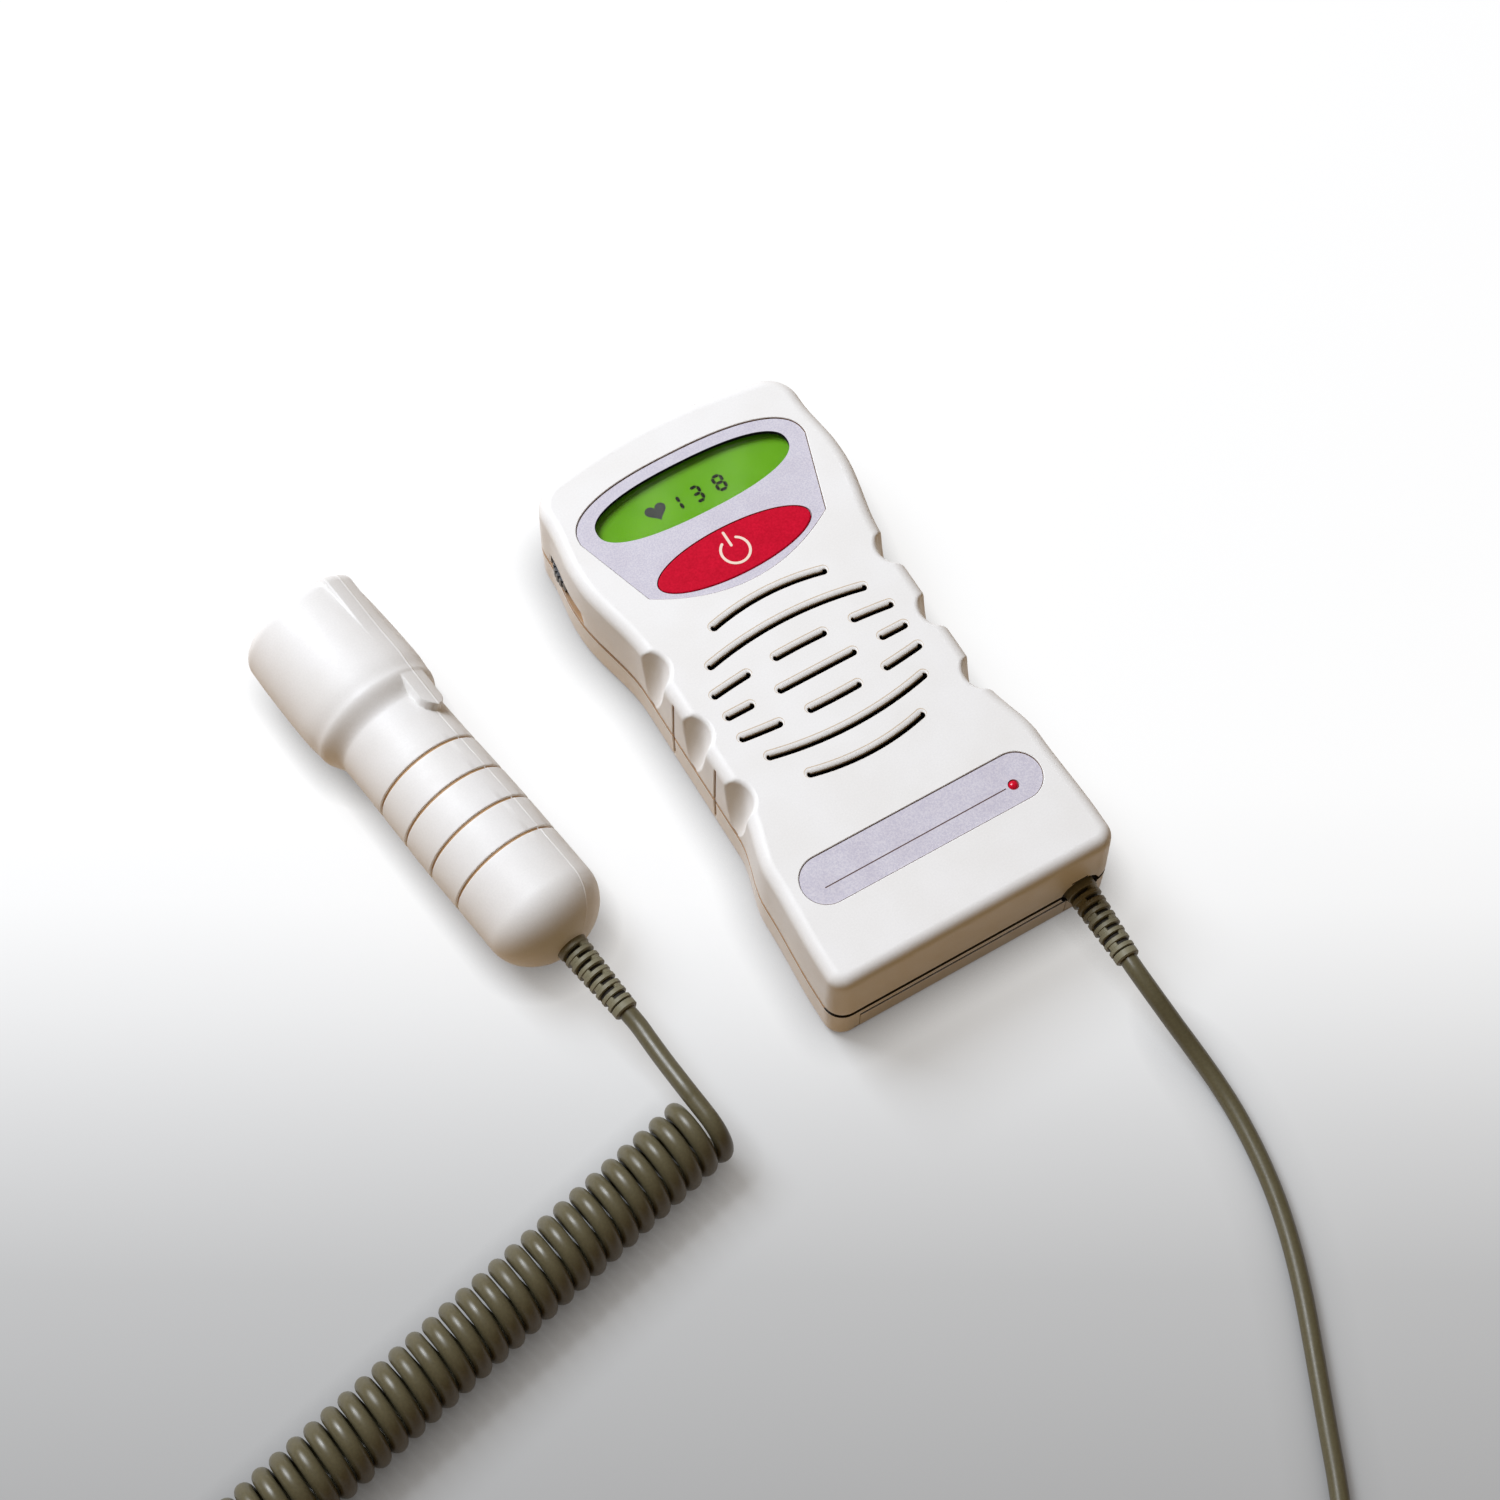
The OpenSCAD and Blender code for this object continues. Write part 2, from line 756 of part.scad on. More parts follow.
module display_ribbon() {
    ribbon_w = 10;
    color([0.75, 0.55, 0.3])
        translate([-ribbon_w / 2, display_post_places[0][1] + 0.8, board_top])
            cube([ribbon_w, 0.4, display_board_z - board_top]);
}

switch_top = display_board_z + board_t + 3.2;
key_z = switch_top + 1;
key_flange_t = plate_z - 0.3 - key_z;

module power_button() {
    color([0.8, 0.08, 0.18]) {
        translate([0, button_y, key_z])
            linear_extrude(key_flange_t)
                polygon(super_ellipse(button_w + 2, button_h + 2, 2));
        translate([0, button_y, key_z])
            linear_extrude(fascia_top + 0.1 - key_z)
                polygon(super_ellipse(button_w, button_h, 2));
    }
}

module power_switch() {
    color(black) difference() {
        translate([-3.5, button_y - 3.5, display_board_z + board_t])
            cube([7, 7, switch_top - display_board_z - board_t]);
        translate([0, button_y, switch_top - button_travel - 0.9])
            cylinder(r = 1.75 + bore_gap, h = button_travel + 1);
    }
}

module switch_plunger() {
    color([0.85, 0.85, 0.82]) translate([0, button_y, switch_top - 0.7])
        cylinder(r = 1.75, h = key_z - switch_top + 0.7);
}

// ---------- speaker ----------

gasket_t = 0.6;
speaker_z = plate_z - gasket_t;

module speaker_gasket() {
    color(black) translate([0, grip_y, speaker_z])
        difference() {
            cylinder(d = speaker_d, h = gasket_t);
            translate([0, 0, -eps])
                cylinder(d = speaker_d - 5, h = gasket_t + 2 * eps);
        }
}

module speaker_frame() {
    r = speaker_d / 2;
    color(steel) translate([0, grip_y, speaker_z])
        rotate_extrude()
            polygon([
                [4, -speaker_t], [13, -speaker_t], [r - 2.6, -1], [r, -1], [r, 0], [r - 3.5, 0],
                [r - 3.5, -0.9], [12.6, -speaker_t + 1], [4, -speaker_t + 1]
            ]);
}

module speaker_cone() {
    r = speaker_d / 2;
    color(black) translate([0, grip_y, speaker_z])
        rotate_extrude()
            polygon([
                [0, -1.3], [3, -1.5], [6, -2.3], [7, -2.7], [r - 4, 0], [r - 2.6, 0],
                [r - 2.6, 0.3], [r - 4.2, 0.3], [7, -2.2], [6, -1.8], [3, -1], [0, -0.8]
            ]);
}

module speaker_magnet() {
    color(steel) translate([0, grip_y, speaker_z - speaker_t - magnet_t])
        cylinder(d = magnet_d, h = magnet_t);
}

module speaker_leads() {
    color(black) for (side = [-1, 1])
        translate([side * 3, grip_y + 17, board_top])
            cylinder(r = 0.6, h = speaker_z - speaker_t + 1.3 - board_top, $fn = 16);
}

// ---------- main board and volume control ----------

module main_board() {
    board_low = bay_high + bay_wall + 1.2;
    color(board_green) difference() {
        intersection() {
            case_room(board_z, board_top, wall_t + 1);
            translate([-60, board_low, board_z - 1])
                cube([120, case_len, 4]);
        }
        for (p = case_screw_places)
            translate([p[0], p[1], board_z - eps])
                cylinder(r = post_r + 0.4, h = board_t + 2 * eps);
        for (p = board_post_places)
            translate([p[0], p[1], board_z - eps])
                cylinder(r = small_screw_r + 0.15, h = board_t + 2 * eps);
    }
}

module board_screws() {
    color(steel) for (p = board_post_places)
        translate([p[0], p[1], board_z - 3]) {
            cylinder(r = small_screw_r, h = 3 + board_t + eps);
            translate([0, 0, 3 + board_t])
                cylinder(r = small_head_r, h = small_head_h);
        }
}

module volume_wheel() {
    tooth = 0.45;
    color(black) translate([wheel_x, wheel_y, wheel_z])
        difference() {
            cylinder(r = wheel_r, h = wheel_t, $fn = 96);
            translate([0, 0, -eps])
                cylinder(r = shaft_r, h = wheel_t + 2 * eps);
            for (i = [0:wheel_teeth - 1])
                rotate([0, 0, i * 360 / wheel_teeth])
                    translate([wheel_r - tooth, -0.3, -eps])
                        cube([1, 0.6, wheel_t + 2 * eps]);
        }
}

module volume_shaft() {
    color(steel) translate([wheel_x, wheel_y, board_top + 0.6])
        cylinder(r = shaft_r, h = wheel_z + wheel_t - board_top - 0.6);
}

module volume_pot() {
    color([0.15, 0.3, 0.55]) difference() {
        translate([wheel_x - 4.4, wheel_y - 5.5, board_top])
            cube([8.8, 11, pot_h]);
        translate([wheel_x, wheel_y, board_top + 0.5])
            cylinder(r = shaft_r + bore_gap, h = pot_h);
    }
}

module lead_connector() {
    color([0.9, 0.9, 0.85]) translate([12, -34, board_top])
        cube([6.5, 5, 5.2]);
}

inner_lead_points = [
    gland_at + [0, wall_t + flange_t + 0.1, 0], gland_at + [0, wall_t + flange_t + 3, 0],
    [27, -59, 11], [28, -52, 11], [28.2, -45, 11], [27.8, -39, 11], [26.4, -35, 11],
    [23.6, -32.4, 11], [20.5, -31.5, 11], [18.5, -31.5, 11]
];

module inner_lead() {
    color(khaki) tube(inner_lead_points, wire_r, 8);
}

// ---------- label and indicator ----------

module label_plate() {
    color([0.82, 0.8, 0.84]) difference() {
        translate([0, label_y, case_h - label_recess])
            linear_extrude(label_t)
                stadium(label_l, label_h);
        translate([light_at[0], light_at[1], case_h - label_recess - eps])
            cylinder(r = led_r + 0.1, h = label_t + 2 * eps);
    }
}

light_board_z = bay_roof + bay_wall;
light_board_t = 0.8;
light_z = light_board_z + light_board_t;
light_foot_r = led_r + 0.4;
light_foot_h = 1;

module light_board() {
    color(board_green) translate([light_at[0] - 4, light_at[1] - 3, light_board_z])
        cube([6.4, 6, light_board_t]);
}

module indicator_light() {
    shoulder_z = light_z + light_foot_h;
    color([0.85, 0.05, 0.15]) translate([light_at[0], light_at[1], 0])
        rotate_extrude()
            polygon([
                [0, light_z], [light_foot_r, light_z], [light_foot_r, shoulder_z],
                [led_r, shoulder_z], [led_r, case_h - 0.5], [led_r * 0.7, case_h - 0.15],
                [0, case_h]
            ]);
}

// ---------- strain reliefs ----------

// Ribs that step down from the root to the tip, with a flange inside the housing
module strain_relief(inside) {
    ribs = 8;
    first = 1.4;
    rib_pitch = (relief_l - first - 2) / ribs;
    tip_r = relief_r - 0.8;
    core_r = 2.4;
    rotate_extrude()
        polygon(concat(
            [
                [0, -inside - flange_t], [relief_r + 1, -inside - flange_t],
                [relief_r + 1, -inside], [relief_r, -inside], [relief_r, first]
            ],
            [for (k = [0:ribs - 1])
                let (r = relief_r - (relief_r - tip_r) * (k + 1) / (ribs + 1))
                each [
                    [core_r, first + k * rib_pitch], [core_r, first + (k + 0.4) * rib_pitch],
                    [r, first + (k + 0.4) * rib_pitch], [r, first + (k + 1) * rib_pitch]
                ]],
            [
                [core_r, relief_l - 2], [core_r, relief_l - 1.7], [tip_r, relief_l - 1.7],
                [tip_r, relief_l], [0, relief_l]
            ]
        ));
}

module monitor_strain_relief() {
    color(khaki) translate(gland_at)
        rotate([90, 0, 0])
            strain_relief(wall_t + 0.1);
}

// ---------- probe ----------

// Distance along the probe is s, from its tail to its face
function head_profile(s) =
    s < shoulder_s
    ? probe_waist_r + (head_r - 0.4 - probe_waist_r) * ease((s - shoulder_s + 6) / 6)
    : head_r - 0.4 * ease((shoulder_s + 5 - s) / 5) - 0.9 * pow((s - shoulder_s) / (probe_l - shoulder_s), 3);

dome = [for (a = [15.5:10.6:90]) [probe_r * sin(a), dome_l * (1 - cos(a))]];
handle_end = shoulder_s - 8.5;
ring_places = [for (k = [0:3]) ring_s + k * ring_pitch];
nose_r = 3;
probe_profile = concat(
    [[0, tail_s], [relief_r + bore_gap, tail_s]],
    dome,
    [for (s = ring_places)
        let (r = probe_r - (probe_r - probe_waist_r) * ease((s - 30) / (handle_end - 30)))
        each [[r, s - ring_w / 2], [r - 0.45, s], [r, s + ring_w / 2]]],
    [[probe_waist_r, handle_end]],
    [for (i = [0:14]) let (s = shoulder_s - 6 + i * 1) [head_profile(s), s]],
    [for (i = [1:4]) let (s = shoulder_s + 8 + i * (probe_l - nose_r - shoulder_s - 8) / 5)
        [head_profile(s), s]],
    [for (a = [0:15:90])
        [head_profile(probe_l - nose_r) - nose_r + nose_r * cos(a), probe_l - nose_r + nose_r * sin(a)]],
    [[0, probe_l]]
);

module place_probe() {
    translate([probe_tail[0], probe_tail[1], probe_z])
        rotate([0, 0, probe_yaw])
            rotate([probe_tilt - 90, 0, 0])
                children();
}

// A lip of the head that runs down over the joint between the half shells
module probe_tongue() {
    tongue_s = shoulder_s - 7.5;
    rotate([0, 0, -probe_seam])
        intersection() {
            union() {
                translate([0, 0, tongue_s])
                    rotate([0, 90, 0])
                        cylinder(r = tongue_r, h = 30);
                translate([0, -tongue_r, tongue_s])
                    cube([30, 2 * tongue_r, shoulder_s + 1 - tongue_s]);
            }
            rotate_extrude()
                polygon([
                    [probe_waist_r - 1, tongue_s - tongue_r - 1],
                    [head_r - 1, tongue_s - tongue_r - 1],
                    [head_r - 0.5, shoulder_s + 1],
                    [probe_waist_r - 1, shoulder_s + 1]
                ]);
        }
}

seat_s = probe_l - 2.2;
crystal_t = 1;
backing_s = seat_s - crystal_t - 8;
backing_r = face_r - 1.2;

module probe_half(start) {
    inner_r = probe_waist_r - probe_wall;
    inner_tail = tail_s + tail_wall;
    intersection() {
        difference() {
            union() {
                rotate_extrude()
                    polygon(probe_profile);
                probe_tongue();
            }
            translate([0, 0, tail_s - 1])
                cylinder(r = relief_r + bore_gap, h = tail_wall + 2);
            rotate_extrude()
                polygon([
                    [0, inner_tail], [relief_r + 1.8, inner_tail], [inner_r, inner_tail + 7],
                    [inner_r, shoulder_s - 4], [head_r - 0.4 - probe_wall, shoulder_s + 3],
                    [head_r - 0.8 - probe_wall, probe_l - 12], [backing_r + 0.2, backing_s],
                    [backing_r + 0.2, seat_s], [0, seat_s]
                ]);
            translate([0, 0, seat_s - eps])
                cylinder(r = face_r + bore_gap, h = 5);
        }
        rotate([0, 0, start])
            translate([-30, 0, -5])
                cube([60, 30, probe_l + 10]);
    }
}

module probe_upper_shell() {
    color(casing) place_probe() probe_half(-probe_seam - 180);
}

module probe_lower_shell() {
    color(casing) place_probe() probe_half(-probe_seam);
}

module probe_face() {
    bulge = 0.5;
    color([0.88, 0.89, 0.92]) place_probe()
        rotate_extrude()
            polygon(concat(
                [[0, seat_s], [face_r, seat_s], [face_r, probe_l - 0.3]],
                [for (i = [1:5]) [face_r * (1 - i / 5), probe_l - 0.3 + bulge * (1 - pow(1 - i / 5, 2))]]
            ));
}

module probe_crystals() {
    color([0.75, 0.7, 0.6]) place_probe()
        translate([0, 0, seat_s - crystal_t])
            difference() {
                cylinder(r = backing_r - 1.5, h = crystal_t);
                translate([-15, -0.3, -eps])
                    cube([30, 0.6, crystal_t + 2 * eps]);
            }
}

module probe_backing() {
    color([0.25, 0.25, 0.28]) place_probe()
        translate([0, 0, backing_s])
            cylinder(r = backing_r, h = seat_s - crystal_t - backing_s);
}

module probe_board() {
    color(board_green) place_probe()
        translate([-8.5, -0.6, board_s])
            cube([17, 1.2, backing_s - board_s]);
}

module probe_inner_lead() {
    inner_end = tail_s + tail_wall + 0.1 + flange_t;
    color(khaki) place_probe()
        translate([0, 0, inner_end])
            cylinder(r = wire_r, h = board_s - inner_end);
}

module probe_strain_relief() {
    color(khaki) place_probe()
        translate([0, 0, tail_s])
            rotate([180, 0, 0])
                strain_relief(tail_wall + 0.1);
}

// ---------- cord ----------

// A tube through points: each ring faces the way the points run there
function run_at(points, i) =
    let (run = points[min(i + 1, len(points) - 1)] - points[max(i - 1, 0)]) run / norm(run);

function ring_round(centre, first, second, r, sides) =
    [for (k = [0:sides - 1])
        centre + r * (cos(360 * k / sides) * first + sin(360 * k / sides) * second)];

module tube(points, r, sides) {
    loft([for (i = [0:len(points) - 1])
        let (
            run = run_at(points, i),
            side = cross(up, run) / norm(cross(up, run))
        )
        ring_round(points[i], side, cross(run, side), r, sides)
    ]);
}

function coil_point(a) =
    [coil_start[0], coil_start[1], coil_od / 2]
    + along * curl_pitch * a / 360 + coil_r * (cos(a) * up + sin(a) * across);
function coil_run(a) =
    let (run = along * curl_pitch / (2 * PI) + coil_r * (cos(a) * across - sin(a) * up)) run / norm(run);
function coil_ring(centre, a) =
    let (out = cos(a) * up + sin(a) * across) ring_round(centre, out, cross(coil_run(a), out), wire_r, 6);

coil_first = coil_point(0) - wire_d * coil_run(0);
coil_last = coil_point(coil_end_angle) + wire_d * coil_run(coil_end_angle);

module coiled_cord() {
    step = 360 / rings_per_curl;
    color(khaki) loft(concat(
        [coil_ring(coil_first, 0)],
        [for (a = [0:step:coil_end_angle]) coil_ring(coil_point(a), a)],
        [coil_ring(coil_last, coil_end_angle)]
    ));
}

// Least gap between the cord and itself, measured from one curl's points to the next curl's
curl_gap = min([for (a = [0:15:360], b = [a + 270:5:a + 450])
    norm(coil_point(b) - coil_point(a)) - wire_d]);
echo(least_gap_of_the_curly_cord_to_itself = curl_gap);

gland_tip = gland_at - [0, relief_l, 0];

module cord_lead() {
    color(khaki) tube(concat(
        [gland_tip, gland_tip - [0, wire_d, 0]],
        lead_points,
        [coil_last + wire_d * coil_run(coil_end_angle) * 0.6, coil_last]
    ), wire_r, 8);
}

probe_run = [
    -sin(probe_yaw) * cos(probe_tilt), cos(probe_yaw) * cos(probe_tilt), sin(probe_tilt)
];
probe_tip = [probe_tail[0], probe_tail[1], probe_z] + (tail_s - relief_l) * probe_run;

module probe_lead() {
    color(khaki) tube(concat(
        [probe_tip, probe_tip - wire_d * probe_run],
        probe_lead_points,
        [coil_first - wire_d * coil_run(0), coil_first]
    ), wire_r, 8);
}

front_shell();
rear_shell();
battery_door();
battery_bay();
block_battery();
battery_contacts();
display_fascia();
display_window();
display_glass();
backlight();
display_board();
display_screws();
display_ribbon();
power_button();
power_switch();
switch_plunger();
speaker_gasket();
speaker_frame();
speaker_cone();
speaker_magnet();
speaker_leads();
main_board();
board_screws();
volume_wheel();
volume_shaft();
volume_pot();
indicator_light();
light_board();
label_plate();
case_screws();
monitor_strain_relief();
inner_lead();
lead_connector();
probe_upper_shell();
probe_lower_shell();
probe_face();
probe_crystals();
probe_backing();
probe_board();
probe_inner_lead();
probe_strain_relief();
cord_lead();
coiled_cord();
probe_lead();
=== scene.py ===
"""Looks of a handheld ultrasound heartbeat monitor with a round probe on a curly cord.

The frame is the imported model's: X across the case, +Y towards its display end, Z up.
The cord's route is in metres. Every other size is in millimetres, and MM turns it into metres.
"""

import json
import math

import bmesh
import bpy
from mathutils import Matrix, Vector


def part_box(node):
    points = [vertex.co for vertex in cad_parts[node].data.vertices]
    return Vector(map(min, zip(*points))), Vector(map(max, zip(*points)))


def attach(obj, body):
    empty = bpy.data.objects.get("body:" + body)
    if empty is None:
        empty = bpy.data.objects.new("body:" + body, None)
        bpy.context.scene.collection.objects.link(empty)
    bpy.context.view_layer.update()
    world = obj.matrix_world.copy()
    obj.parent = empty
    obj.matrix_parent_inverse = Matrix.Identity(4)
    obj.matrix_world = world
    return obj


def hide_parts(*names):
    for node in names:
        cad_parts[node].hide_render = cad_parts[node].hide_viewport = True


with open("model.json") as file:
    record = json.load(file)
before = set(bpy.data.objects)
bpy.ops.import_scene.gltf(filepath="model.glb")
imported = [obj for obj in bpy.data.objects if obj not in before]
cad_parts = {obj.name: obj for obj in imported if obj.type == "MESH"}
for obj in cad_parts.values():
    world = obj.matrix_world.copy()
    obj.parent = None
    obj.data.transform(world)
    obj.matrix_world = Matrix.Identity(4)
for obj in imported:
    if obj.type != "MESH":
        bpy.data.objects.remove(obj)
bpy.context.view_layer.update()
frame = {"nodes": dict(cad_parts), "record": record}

MM = 0.001
UP = Vector((0, 0, 1))
scene = bpy.context.scene


def box_mm(node):
    """Lowest and highest corner of a CAD node, in millimetres"""
    return [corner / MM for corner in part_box(node)]


# ---------- camera ----------

AIM = Vector((-0.02018, -0.00942, 0.01983))
VIEW_AZIMUTH = math.radians(-30.458)
VIEW_ELEVATION = math.radians(64.121)
VIEW_DISTANCE = 0.7
LENS = 77.51


def make_camera():
    flat = math.cos(VIEW_ELEVATION)
    back = Vector((
        math.sin(VIEW_AZIMUTH) * flat, -math.cos(VIEW_AZIMUTH) * flat, math.sin(VIEW_ELEVATION)
    ))
    data = bpy.data.cameras.new("camera")
    data.lens = LENS
    data.sensor_width = 36
    camera = bpy.data.objects.new("camera", data)
    camera.location = AIM + back * VIEW_DISTANCE
    camera.rotation_mode = "QUATERNION"
    camera.rotation_quaternion = back.to_track_quat("Z", "Y")
    scene.collection.objects.link(camera)
    scene.camera = camera


make_camera()


# ---------- mesh tools ----------


def new_object(name, points, faces, scale=MM):
    """A mesh object whose faces look outwards"""
    mesh = bpy.data.meshes.new(name)
    mesh.from_pydata([Vector(p) * scale for p in points], [], faces)
    work = bmesh.new()
    work.from_mesh(mesh)
    bmesh.ops.recalc_face_normals(work, faces=work.faces)
    work.to_mesh(mesh)
    work.free()
    made = bpy.data.objects.new(name, mesh)
    scene.collection.objects.link(made)
    return made


def loft_parts(rings, start=0):
    """Points and faces of a closed skin through rings of equal length"""
    n = len(rings[0])
    points = [p for ring in rings for p in ring]
    faces = [tuple(start + i for i in range(n))]
    faces.append(tuple(start + (len(rings) - 1) * n + i for i in range(n)))
    for k in range(len(rings) - 1):
        low = start + k * n
        for i in range(n):
            j = (i + 1) % n
            faces.append((low + i, low + j, low + n + j, low + n + i))
    return points, faces


def loft(name, rings, scale=MM):
    return new_object(name, *loft_parts(rings), scale)


def lofts(name, solids):
    """One object of several separate solids, each a list of rings"""
    points, faces = [], []
    for rings in solids:
        more_points, more_faces = loft_parts(rings, len(points))
        points += more_points
        faces += more_faces
    return new_object(name, points, faces)


def combine(target, other, operation="DIFFERENCE"):
    """Cuts the other object from the target, or joins it on, and removes it"""
    for material in target.data.materials:
        other.data.materials.append(material)
    modifier = target.modifiers.new("combine", "BOOLEAN")
    modifier.operation = operation
    modifier.solver = "MANIFOLD"
    modifier.object = other
    bpy.context.view_layer.update()
    graph = bpy.context.evaluated_depsgraph_get()
    mesh = bpy.data.meshes.new_from_object(target.evaluated_get(graph))
    target.modifiers.clear()
    target.data = mesh
    bpy.data.objects.remove(other)


def shade(piece, angle=35):
    """Smooth shading that keeps edges sharper than the angle and large faces flat"""
    mesh = piece.data
    mesh.polygons.foreach_set("use_smooth", [True] * len(mesh.polygons))
    mesh.set_sharp_from_angle(angle=math.radians(angle))
    modifier = piece.modifiers.new("normals", "WEIGHTED_NORMAL")
    modifier.keep_sharp = True


def stand_for(piece, body, slot, *nodes):
    """Puts a finished piece on its body and hides the CAD nodes that it stands for; slot is not used"""
    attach(piece, body)
    if nodes:
        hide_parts(*nodes)


def ease(t):
    """Goes smoothly from 0 to 1 as t goes from 0 to 1"""
    c = min(1.0, max(0.0, t))
    return c * c * (3 - 2 * c)


def circle(x, y, r, sides=48):
    return [
        (x + r * math.cos(2 * math.pi * i / sides), y + r * math.sin(2 * math.pi * i / sides))
        for i in range(sides)
    ]


def at_height(outline, z):
    return [(p[0], p[1], z) for p in outline]


def prism(outline, low, high):
    return [at_height(outline, low), at_height(outline, high)]


def block(low, high):
    corners = [(low[0], low[1]), (high[0], low[1]), (high[0], high[1]), (low[0], high[1])]
    return prism(corners, low[2], high[2])


def grown(outline, distance):
    """A closed outline, counterclockwise, moved outwards: the distance may depend on the normal"""
    moved = []
    for i, p in enumerate(outline):
        before, after = outline[i - 1], outline[(i + 1) % len(outline)]
        run = Vector((after[0] - before[0], after[1] - before[1])).normalized()
        normal = (run.y, -run.x)
        d = distance(normal[1]) if callable(distance) else distance
        moved.append((p[0] + d * normal[0], p[1] + d * normal[1]))
    return moved


# ---------- materials ----------

made_materials = {}


class Graph:
    """A node tree whose nodes are made, set and linked in one call"""

    def __init__(self, tree):
        self.nodes = tree.nodes
        self.links = tree.links

    def feed(self, socket, value):
        """Links an output to the socket, or sets the socket to a constant"""
        if isinstance(value, bpy.types.NodeSocket):
            self.links.new(value, socket)
        else:
            socket.default_value = value

    def add(self, kind, *values, operation=None, **named):
        """A new node's first output: values go to its inputs in their order, or by name"""
        node = self.nodes.new("ShaderNode" + kind)
        if operation:
            node.operation = operation
        for socket, value in zip(node.inputs, values):
            self.feed(socket, value)
        for name, value in named.items():
            self.feed(node.inputs[name.replace("_", " ")], value)
        return node.outputs[0]

    def mix(self, fac, first, second, kind="MIX"):
        """A mix of two colours"""
        node = self.nodes.new("ShaderNodeMix")
        node.data_type = "RGBA"
        node.blend_type = kind
        for socket, value in (("Factor", fac), ("A", first), ("B", second)):
            self.feed([s for s in node.inputs if s.name == socket and s.enabled][0], value)
        return [s for s in node.outputs if s.enabled][0]

    def ramp(self, fac, stops):
        """A colour that goes through the stops, each a place and a colour, as fac grows"""
        colour = self.add("ValToRGB", fac)
        elements = colour.node.color_ramp.elements
        while len(elements) < len(stops):
            elements.new(0.5)
        for element, (at, shade_there) in zip(elements, stops):
            element.position = at
            element.color = (*shade_there, 1)
        return colour


class Recipe(Graph):
    """A node material that is built up around one Principled shader"""

    def __init__(self, name, roughness=0.5, **constants):
        material = bpy.data.materials.new(name)
        material.use_nodes = True
        super().__init__(material.node_tree)
        self.shader = self.nodes["Principled BSDF"]
        self.place = self.add("TexCoord").node.outputs["Object"]
        constants["Roughness"] = roughness
        for socket, value in constants.items():
            self.feed(self.shader.inputs[socket.replace("_", " ")], value)
        made_materials[name] = material

    def noise(self, size_mm, detail=3, stretch=(1, 1, 1)):
        """Noise whose blotches are about size_mm across"""
        place = self.add("Mapping", self.place, Scale=stretch)
        return self.add("TexNoise", place, Scale=1 / (size_mm * MM), Detail=detail)

    def blend(self, fac, first, second, low=0.35, high=0.65):
        """A colour that goes from first to second as fac goes from low to high"""
        return self.ramp(fac, [(low, first), (high, second)])

    def colour(self, output):
        self.links.new(output, self.shader.inputs["Base Color"])

    def gloss(self, fac, low, high):
        """Roughness that varies with fac"""
        self.feed(self.shader.inputs["Roughness"], self.add("MapRange", fac, 0.3, 0.7, low, high))

    def bump(self, fac, depth_mm):
        self.feed(self.shader.inputs["Normal"], self.add("Bump", Distance=depth_mm * MM, Height=fac))

    def show(self, shader):
        """Makes another shader the one that is seen"""
        self.feed(self.nodes["Material Output"].inputs["Surface"], shader)


def shades(colour, spread):
    """A darker and a lighter shade of a colour"""
    return tuple(c * (1 - spread) for c in colour), tuple(min(1, c * (1 + spread)) for c in colour)


def moulded(name, colour, roughness, grain_mm=0.35, depth_mm=0.012, spread=0.05, **constants):
    """Moulded plastic or rubber: a faint mottle, a sandy grain and a gloss that varies"""
    recipe = Recipe(name, roughness, **constants)
    grain = recipe.noise(grain_mm, 2)
    mottle = recipe.noise(14, 2)
    dark, light = shades(colour, spread)
    sandy = recipe.blend(grain, dark, light)
    broad = recipe.blend(mottle, (0.97, 0.965, 0.955), (1, 1, 1))
    recipe.colour(recipe.mix(1.0, sandy, broad, "MULTIPLY"))
    recipe.gloss(recipe.noise(3, 2), roughness - 0.05, roughness + 0.06)
    recipe.bump(grain, depth_mm)
    return recipe


CASING = (0.885, 0.88, 0.865)
# Painted shade: a near black for faces in gaps
PAINTED_GAP_BLACK = (0.02, 0.016, 0.012)


def make_casing():
    moulded("casing", CASING, 0.46, 0.4, 0.010, 0.018, Specular_IOR_Level=0.35)
    # Painted shade: the groove material is a brown for the shade in the grip grooves, along the joint at
    # the sides, on the recess walls and on the wheel dish's ledges
    moulded("groove", (0.36, 0.21, 0.10), 0.6, 0.3, 0.01, 0.1)
    # Painted shade: a tan for the probe's ring grooves
    moulded("painted_ring_shade", (0.50, 0.31, 0.15), 0.6, 0.3, 0.01, 0.1)
    # Painted shade: a tan line round each slot's rim and on the steep part of its roll
    moulded("painted_rim_shade", (0.66, 0.55, 0.42), 0.6, 0.3, 0.004, 0.05)
    # Painted shade: black in the joint at the cord end, in the counterbores, over the door's lip and in
    # the strain reliefs' gaps
    moulded("painted_gap_shade", PAINTED_GAP_BLACK, 0.8, 0.3, 0.01, 0.1)
    # Painted highlight: a paler line along the probe's seams
    moulded("painted_seam_highlight", (0.97, 0.96, 0.94), 0.4, 0.3, 0.004, 0.01)
    # Painted shade: the mask material is black on the slots' walls and on the display window's walls
    moulded("mask", (0.006, 0.006, 0.006), 0.7, 0.3, 0.004, 0.1, Specular_IOR_Level=0.1)
    # Painted highlight: a lighter grey on the wheel's tooth crests
    moulded("painted_tooth_highlight", (0.2, 0.19, 0.175), 0.5, 0.3, 0.01, 0.1)


